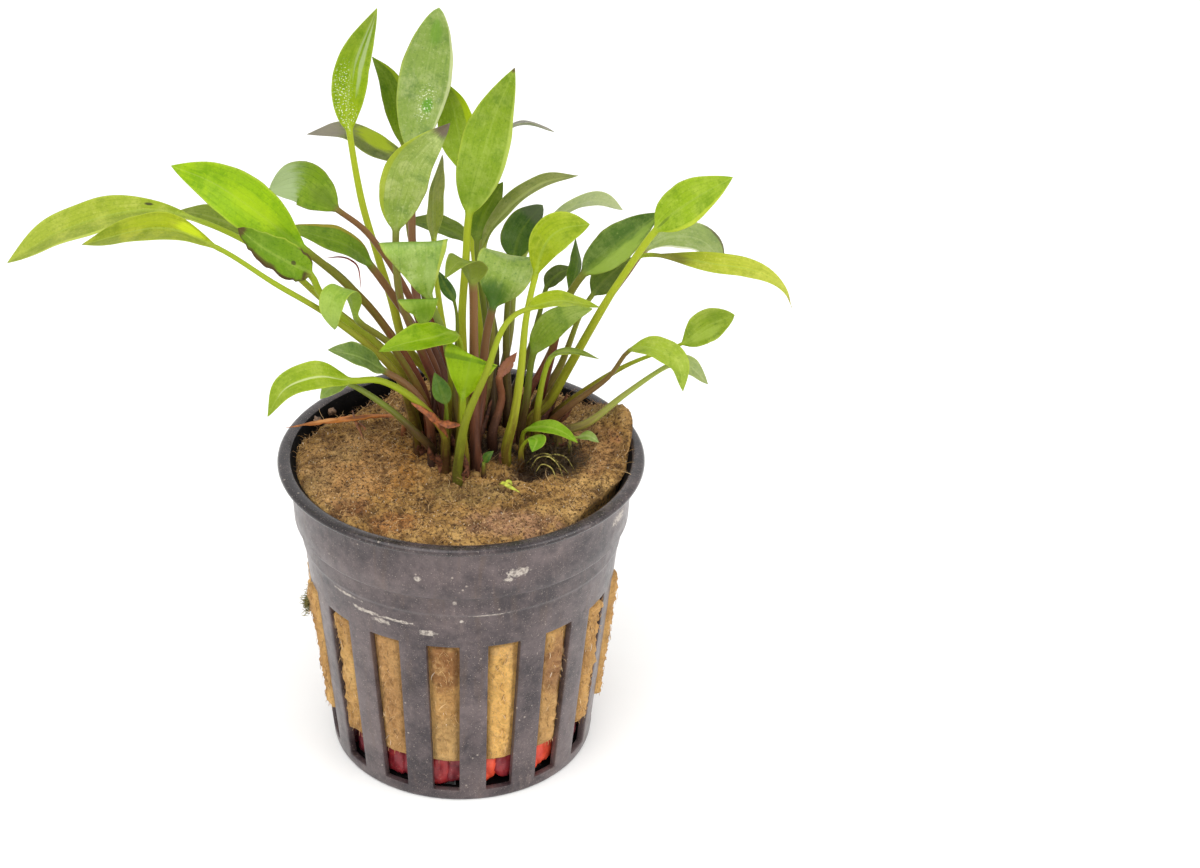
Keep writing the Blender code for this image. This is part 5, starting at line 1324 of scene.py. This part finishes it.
# A run of colour from neck to tip, soft light and deep patches, and long streaks
def mottledShade(tree, leaf, real, side, share, light, deep):
    shade = ramp(tree, share, list(zip((0.0, 0.45, 1.0), leaf["shades"])))
    if leaf["halves"]:
        tint, amount = leaf["halves"]
        shade = blend(tree, smooth(tree, side, 0.25, -0.35, 0.0, amount), shade, tint)
    upper = grain(tree, real, 0.3, 4.0, 0.65)
    shade = blend(tree, smooth(tree, upper, 0.45, 0.72, 0.0, leaf["mottle"]), shade, light)
    lower = grain(tree, vectorCalc(tree, "ADD", real, (31.0, 17.0, 5.0)), 0.36, 4.0, 0.65)
    shade = blend(tree, smooth(tree, lower, 0.47, 0.74, 0.0, leaf["mottle"]), shade, deep)
    streaky = grain(tree, vectorCalc(tree, "MULTIPLY", real, (1.7, 0.14, 1.0)), 1.0, 3.0, 0.6)
    shade = blend(tree, smooth(tree, streaky, 0.56, 0.74, 0.0, 0.4), shade, light)
    return blend(tree, smooth(tree, streaky, 0.44, 0.28, 0.0, 0.35), shade, deep)


# Veins that arch from neck to tip, the midrib, the margin and the paler underside
def veinedShade(tree, leaf, shade, real, outward, share, top, arcs):
    shade = blend(tree, times(tree, arcs, leaf["veinAmount"]), shade, leaf["vein"])
    ribWidth = smooth(tree, share, 0.0, 1.0, 0.42, 0.1)
    fromMiddle = calc(tree, "ABSOLUTE", splitParts(tree, real)["X"])
    rib = smooth(tree, calc(tree, "DIVIDE", fromMiddle, ribWidth), 1.0, 0.3)
    shade = blend(tree, times(tree, rib, 0.35), shade, leaf["midrib"])
    shade = blend(tree, times(tree, smooth(tree, outward, 0.88, 0.98), 0.6), shade, leaf["margin"])
    return blend(tree, times(tree, smooth(tree, top, 0.1, -0.1), 0.55), shade, leaf["under"])


# Marks have a place on the blade and a size, both as (share, side), a colour and how strong they are.
# Painted glints are the same without the last two: clusters of pale specks, painted highlights that stand in
# for the glints of water drops.
def markedShade(tree, leaf, shade, real, side, share, seed):
    flat = addNode(tree, "CombineXYZ", {0: side, 1: share, 2: float(seed)}).outputs[0]
    marks = [((at[1], at[0], float(seed)), (size[1], size[0], 1.0), tint, amount)
             for at, size, tint, amount in leaf["marks"]]
    shade = paintPatches(tree, flat, shade, marks, 0.45, 7.0, 0.35)
    for at, size in leaf["paintedGlints"]:
        area = patch(tree, flat, (at[1], at[0], float(seed)), (size[1], size[0], 1.0), 0.3, 7.0, 0.5)
        dots = smooth(tree, grain(tree, real, 4.4, 1.0, 0.4), 0.6, 0.68)
        shade = blend(tree, times(tree, area, dots), shade, leaf["paintedGlintShade"])
    return shade


# Brownish at the foot, green at the neck, with fine streaks
def stalkShade(tree, leaf, real, share, fine):
    streak = grain(tree, vectorCalc(tree, "MULTIPLY", real, (2.2, 0.2, 1.0)), 1.0, 3.0, 0.6)
    uneven = times(tree, calc(tree, "SUBTRACT", streak, 0.5), 0.7)
    upward = plus(tree, plus(tree, share, 1.0), uneven)
    shade = ramp(tree, upward, list(zip((0.02, 0.36, 0.8), leaf["stalkShades"])))
    pale = shifted(leaf["stalkShades"][-1], (24, 24, 30))
    return blend(tree, smooth(tree, fine, 0.55, 0.8, 0.0, 0.35), shade, pale)


def leafMaterial(name, leaf, seed):
    material, tree, shader = newMaterial(name + "_skin", Roughness=leaf["roughness"], Coat_Roughness=0.3,
                                         Coat_Weight=leaf["gloss"] * 0.25, Specular_IOR_Level=leaf["gloss"])
    side, share, top = splitParts(tree, attribute(tree, "bladePlace"))
    real = attribute(tree, "bladeMm")
    light = shifted(leaf["shades"][1], leaf["lighter"])
    deep = shifted(leaf["shades"][1], leaf["deeper"])
    outward = calc(tree, "ABSOLUTE", side)
    arcs = smooth(tree, calc(tree, "PINGPONG", times(tree, outward, 4.0), 0.5), 0.1, 0.0)
    fine = grain(tree, real, 2.6, 3.0, 0.7)

    shade = mottledShade(tree, leaf, real, side, share, light, deep)
    shade = veinedShade(tree, leaf, shade, real, outward, share, top, arcs)
    shade = blend(tree, smooth(tree, fine, 0.54, 0.76, 0.0, 0.7), shade, light)
    shade = blend(tree, smooth(tree, fine, 0.46, 0.26, 0.0, 0.7), shade, deep)
    shade = markedShade(tree, leaf, shade, real, side, share, seed)
    onBlade = smooth(tree, share, -0.05, 0.08)
    shade = blend(tree, onBlade, stalkShade(tree, leaf, real, share, fine), shade)
    rough = leaf["roughness"]
    rough = smooth(tree, grain(tree, real, 0.8, 3.0), 0.3, 0.7, rough - 0.08, rough + 0.12)
    ripples = times(tree, grain(tree, real, 1.7, 4.0, 0.65), 0.7)
    relief = calc(tree, "SUBTRACT", ripples, times(tree, arcs, 0.3))
    finishSkin(tree, shader, shade, relief, 0.16, 0.5, rough)
    # light that comes through the blade
    warm = blend(tree, 1.0, shade, leaf["throughTint"], "MULTIPLY")
    through = addNode(tree, "BsdfTranslucent", {"Color": warm})
    mixed = addNode(tree, "MixShader", {0: leaf["glow"], 1: shader.outputs[0], 2: through.outputs[0]})
    tree.links.new(mixed.outputs[0], tree.nodes["Material Output"].inputs["Surface"])
    return material


def bladeHalfWidth(share, leaf):
    half, fold = 0.5 * leaf["width"], leaf["fold"]
    if fold and share < fold:
        return half * (share / fold) ** leaf["foldSpread"]
    if fold:
        return half * math.sqrt(max(0.0, 1.0 - ((share - fold) / (1.0 - fold)) ** 2))
    power = math.log(0.5) / math.log(leaf["widest"])
    return half * max(0.0, math.sin(math.pi * share ** power)) ** leaf["blunt"]


# Noise along the blade, its own on each side
def edgeNoise(wide, along, place, apart, level):
    right, left = [noise.noise(Vector((along, place + more, level))) for more in (apart, 0.0)]
    return np.where(wide > 0, right, left)


# One ring of a leaf: how far across and how far up each of its points lies
def leafRing(leaf, share, seed, wide, high):
    neck = leaf["neck"] * leaf["slimness"]
    if share < 0:
        grown = share + 1.0
        radius = neck + (leaf["footRadius"] - neck) * (1.0 - grown) ** leaf["taper"]
        radius *= 1.0 + 0.07 * noise.noise(Vector((grown * 7.0, seed * 3.1, 0.0)))
        halves = np.full(len(wide), radius)
        thin = leaf["thickness"] * 0.5
    else:
        radius = neck * (1.0 - share) ** 2 + 0.02
        half = bladeHalfWidth(share, leaf) * (1.0 - leaf["lean"] * np.sign(wide))
        uneven = edgeNoise(wide, share * 9.0, seed * 5.3, 4.0, 0.0)
        torn = np.abs(edgeNoise(wide, share * 21.0, seed * 2.7, 9.0, 3.0))
        cut = leaf["tatter"] * (0.5 + uneven) + leaf["ragged"] * 2.0 * torn
        halves = np.maximum(half * (1.0 - cut), max(radius, 0.06))
        thin = leaf["thickness"] * (0.5 - 0.28 * share)
    flat = eased(np.clip((halves - radius) / 0.9, 0.0, 1.0))
    across = wide * halves
    # a round stalk, and a thin blade with its midrib standing out below and sunk above
    stalkUp = radius * 0.87 * high
    ribShape = np.exp(-(across / max(radius * 0.8, 0.12)) ** 2)
    bladeUp = high * thin - np.where(high < 0, radius * 0.85, 0.16 * min(1.0, radius * 3)) * ribShape
    camber = leaf["cup"] * np.maximum(0.0, halves - radius) * np.abs(wide) ** 1.5
    phase = math.tau * leaf["waves"] * max(share, 0.0) + seed + np.where(wide > 0, 0.0, 2.1)
    wavy = leaf["ripple"] * halves * wide ** 2 * np.sin(phase)
    return across, (1 - flat) * stalkUp + flat * (bladeUp + wavy) + camber


def makeLeaf(name, given, seed):
    leaf = {**leafShape, **leafKinds[given["kind"]], **given}
    footX, footY = leaf["foot"]
    footHeight = plugTop(footX, footY) + leaf["rootLift"]
    footPoints = [(footX, footY, footHeight), (footX, footY, footHeight + leaf["uprightFoot"])]
    path = smoothPath(footPoints + leaf["stalk"] + leaf["blade"])
    run = lengthsAlong(path)
    neckRun = run[(len(footPoints) + len(leaf["stalk"])) * spanSteps]
    bladeRun = run[-1] - neckRun
    stalkPlaces = np.linspace(0.0, neckRun, max(6, int(neckRun / leaf["stalkSpacing"])))[:-1]
    bladeShares = np.linspace(0.0, 1.0, max(24, int(bladeRun / leaf["bladeSpacing"])))
    distances = np.concatenate([stalkPlaces, neckRun + bladeShares * bladeRun])
    shares = np.concatenate([stalkPlaces / neckRun - 1.0, bladeShares])
    centres = pointsAt(path, run, distances)
    nearby = 0.7
    ahead = pointsAt(path, run, np.minimum(distances + nearby, run[-1]))
    behind = pointsAt(path, run, np.maximum(distances - nearby, 0.0))
    middleOfBlade = len(stalkPlaces) + int(len(bladeShares) * 0.55)
    sideways, upward = carriedFrames(unitRows(ahead - behind), middleOfBlade, leaf["face"])

    turn = np.arange(leaf["ringPoints"]) * math.tau / leaf["ringPoints"]
    wide, high = np.cos(turn), np.sin(turn)
    points, bladePlace, bladeMm = [], [], []
    # the first ring is doubled: its copy stands lower, in the wool
    for i in [0, *range(len(shares))]:
        share = shares[i]
        centre = centres[i] if points else centres[0] - np.array([0, 0, leaf["rootDepth"]])
        across, lift = leafRing(leaf, share, seed, wide, high)
        points.extend(centre + sideways[i] * d + upward[i] * u for d, u in zip(across, lift))
        bladePlace.extend((w, share, h) for w, h in zip(wide, high))
        bladeMm.extend((d, share * (bladeRun if share > 0 else neckRun), seed * 13.7) for d in across)
    makePiece(name + "_grown", points, ringFaces(len(shares) + 1, len(wide)), leafMaterial(name, leaf, seed),
              {"bladePlace": np.array(bladePlace), "bladeMm": np.array(bladeMm)}, [name])


# A leaf's number in this order is the seed of its noise
def makeLeaves():
    seed = 1
    for group in (*leafGroups, shoots, deadParts):
        for name, leaf in group.items():
            makeLeaf(name, leaf, seed)
            seed += 1
    print("leaves made:", seed - 1)


# Small loose pieces: each has its paths, half width and thickness, how torn, two shades and a slot
scraps = {
    "red_thread": dict(
        paths=[[(-20, 9, 77.8), (-17.8, 9, 78), (-16.3, 8.5, 77.8), (-15.1, 8, 76.7), (-14.7, 7, 73.6)]],
        wide=0.15, thick=0.13, torn=0.3, shades=((96, 22, 20), (168, 62, 48)), slot="leaf_dry"),
    "hanging_twig": dict(
        paths=[[(-16.6, 7.6, 52.9), (-16.1, 5.9, 52.1), (-15.4, 4.0, 51.5), (-14.7, 2.1, 51.0)],
               [(-15.9, 5.4, 52.0), (-15.0, 5.0, 51.7), (-14.4, 4.2, 51.3)]],
        wide=0.24, thick=0.2, torn=0.6, shades=((70, 40, 24), (140, 86, 50)), slot="leaf_dry"),
    "yellow_curl": dict(
        paths=[[(5.4, -10.6, 50.7), (5.9, -11.3, 51.4), (6.8, -12.1, 51.3), (8.4, -12.7, 50.6)],
               [(6.2, -11.4, 51.3), (6.9, -11.0, 51.5), (7.3, -11.3, 51.0)]],
        wide=0.3, thick=0.1, torn=0.5, shades=((128, 140, 24), (206, 208, 76)), slot="leaf_bright"),
    "pale_fibre_arcs": dict(
        paths=[
            [(10.2, -5.4, 50.3), (11.2, -4.7, 51.6), (12.8, -4.8, 51.9), (14.2, -6, 51.2), (14.9, -7.6, 50)],
            [(10.9, -6.4, 50.2), (11.8, -5.7, 51.1), (13.2, -6.6, 51), (13.9, -8.2, 50)],
            [(9.6, -4, 50.3), (11, -3.4, 51.3), (12.8, -3.6, 51.6), (14.6, -4.8, 50.6), (15.8, -6.8, 50.1)],
            [(12.2, -3.4, 50.4), (13.4, -3, 51.2), (15.4, -3.6, 51.1), (16.6, -5.4, 50.1)]],
        wide=0.09, thick=0.08, torn=0.4, shades=((118, 104, 40), (204, 192, 104)), slot="leaf_pale"),
    "torn_sheath": dict(
        paths=[[(-2.0, -7.8, 57.0), (-3.3, -8.5, 59.8), (-5.0, -9.3, 62.0), (-7.2, -9.8, 64.0)],
               [(-3.6, -8.5, 60.2), (-2.0, -8.9, 59.9), (-0.2, -8.6, 59.6)]],
        wide=0.6, thick=0.06, torn=0.7, shades=((92, 46, 24), (170, 96, 50)), slot="leaf_dry"),
    "inner_crumbs": dict(
        paths=[[(-22.4, 9.5, 49.1), (-22.1, 10.3, 49.6), (-21.8, 11.0, 49.2)],
               [(-20.4, 13.2, 48.8), (-20.0, 13.8, 49.2), (-19.6, 14.3, 48.8)]],
        wide=0.6, thick=0.5, torn=0.8, shades=((58, 40, 30), (138, 108, 84)), slot="rockwool"),
}


def makeScrapMaterial(name, dark, pale):
    material, tree, shader = newMaterial(name + "_skin", Roughness=0.5, Specular_IOR_Level=0.4)
    place = placeInMm(tree)
    mottled = grain(tree, place, 1.6, 4.0, 0.7)
    shade = ramp(tree, mottled, [(0.36, dark), (0.62, pale)])
    rough = smooth(tree, mottled, 0.3, 0.7, 0.4, 0.65)
    finishSkin(tree, shader, shade, grain(tree, place, 4.0, 4.0, 0.7), 0.1, 0.5, rough)
    return material


def makeScraps():
    sides, spanPoints, facing = 10, 9, (0.1, -0.5, 0.85)
    turn = np.arange(sides) * math.tau / sides
    for number, (name, scrap) in enumerate(scraps.items()):
        points, faces = [], []
        for strand, given in enumerate(scrap["paths"]):
            path = smoothPath(given, spanPoints)
            across, ups = carriedFrames(unitRows(np.gradient(path, axis=0)), 0, facing)
            first = len(points)
            for i, centre in enumerate(path):
                share = i / (len(path) - 1)
                body = max(0.08, math.sin(math.pi * (0.03 + 0.94 * share))) ** 0.8
                for c, s in zip(np.cos(turn), np.sin(turn)):
                    place = Vector((share * 5.0, 2.0 * c, number * 7.0 + strand * 3.0 + s))
                    size = body * (1.0 + scrap["torn"] * noise.noise(place))
                    points.append(centre + across[i] * (scrap["wide"] * size * c)
                                  + ups[i] * (scrap["thick"] * size * s))
            faces.extend(tuple(first + corner for corner in face) for face in ringFaces(len(path), sides))
        makePiece(name, points, faces, makeScrapMaterial(name, *scrap["shades"]))


# Torn brown sheaths that stand against the feet of the stalks, one short strip after another
def sheathPaths():
    rng = np.random.default_rng(33)
    paths = []
    for group in leafGroups:
        for leaf in group.values():
            footX, footY = leaf["foot"]
            foot = np.array([footX, footY, plugTop(footX, footY) - 0.2])
            lean = np.array(leaf["stalk"][0], float) - foot
            lean /= np.linalg.norm(lean)
            turn = math.radians(rng.uniform(-75, 75))
            aside = heading(turn) * rng.uniform(0.75, 1.0)
            tall = rng.uniform(2.5, 6.5)
            bend = rng.normal(0, 0.35, 3)
            paths.append([foot + aside * 1.1, foot + aside + np.array([0, 0, 1.6]) * 0.8,
                          foot + aside * 0.95 + lean * (tall * 0.6) + bend * 0.4,
                          foot + aside * 1.1 + lean * tall + bend])
    return paths


scraps["dead_sheaths"] = dict(paths=sheathPaths(), wide=0.42, thick=0.07, torn=0.9,
                              shades=((44, 24, 20), (128, 80, 56)), slot="leaf_dry")

# Clumps of fine strands: middle, spread, count, length, radius and the way they lean
tufts = {
    "moss_tuft": dict(
        middle=(-23.5, 0.0, 22.8), spread=(0.3, 0.8, 0.85), count=280, length=(0.5, 1.2), radius=0.06,
        way=(-0.7, -0.3, 0.2), shades=((70, 68, 28), (156, 146, 78)), slot="leaf_dark"),
    # the roots in the cavity are dark, made near black with painted shade of the hollow
    "cavity_roots": dict(
        middle=(13.0, -2.6, 50.0), spread=(2.3, 2.0, 0.3), count=520, length=(1.2, 3.4), radius=0.06,
        way=(0.2, -0.2, 0.3), shades=((14, 9, 6), (92, 72, 40)), slot="rockwool"),
}


def makeTufts():
    for number, (name, tuft) in enumerate(tufts.items()):
        rng = np.random.default_rng(21 + number)
        count = tuft["count"]
        starts = rng.normal(0, 1, (count, 3)) * np.array(tuft["spread"]) + np.array(tuft["middle"])
        ways = unitRows(rng.normal(0, 0.6, (count, 3)) + np.array(tuft["way"]))
        lifts = rng.normal(0, 0.15, (count, 3)) + np.array([0, 0, 0.2])
        lengths = rng.uniform(*tuft["length"], count)
        radii = np.full(count, tuft["radius"])
        points, faces = threadMesh(starts, ways, lifts, lengths, radii, rng.uniform(-0.4, 0.4, count))
        makePiece(name, points, faces, makeScrapMaterial(name, *tuft["shades"]))


makeStudio()
print("studio ready")
makePot()
print("pot ready")
makeWool()
makeWoolFibres()
print("rockwool ready")
makeClay()
print("clay ready")
makeLeaves()
makeScraps()
makeTufts()
print("small pieces ready")
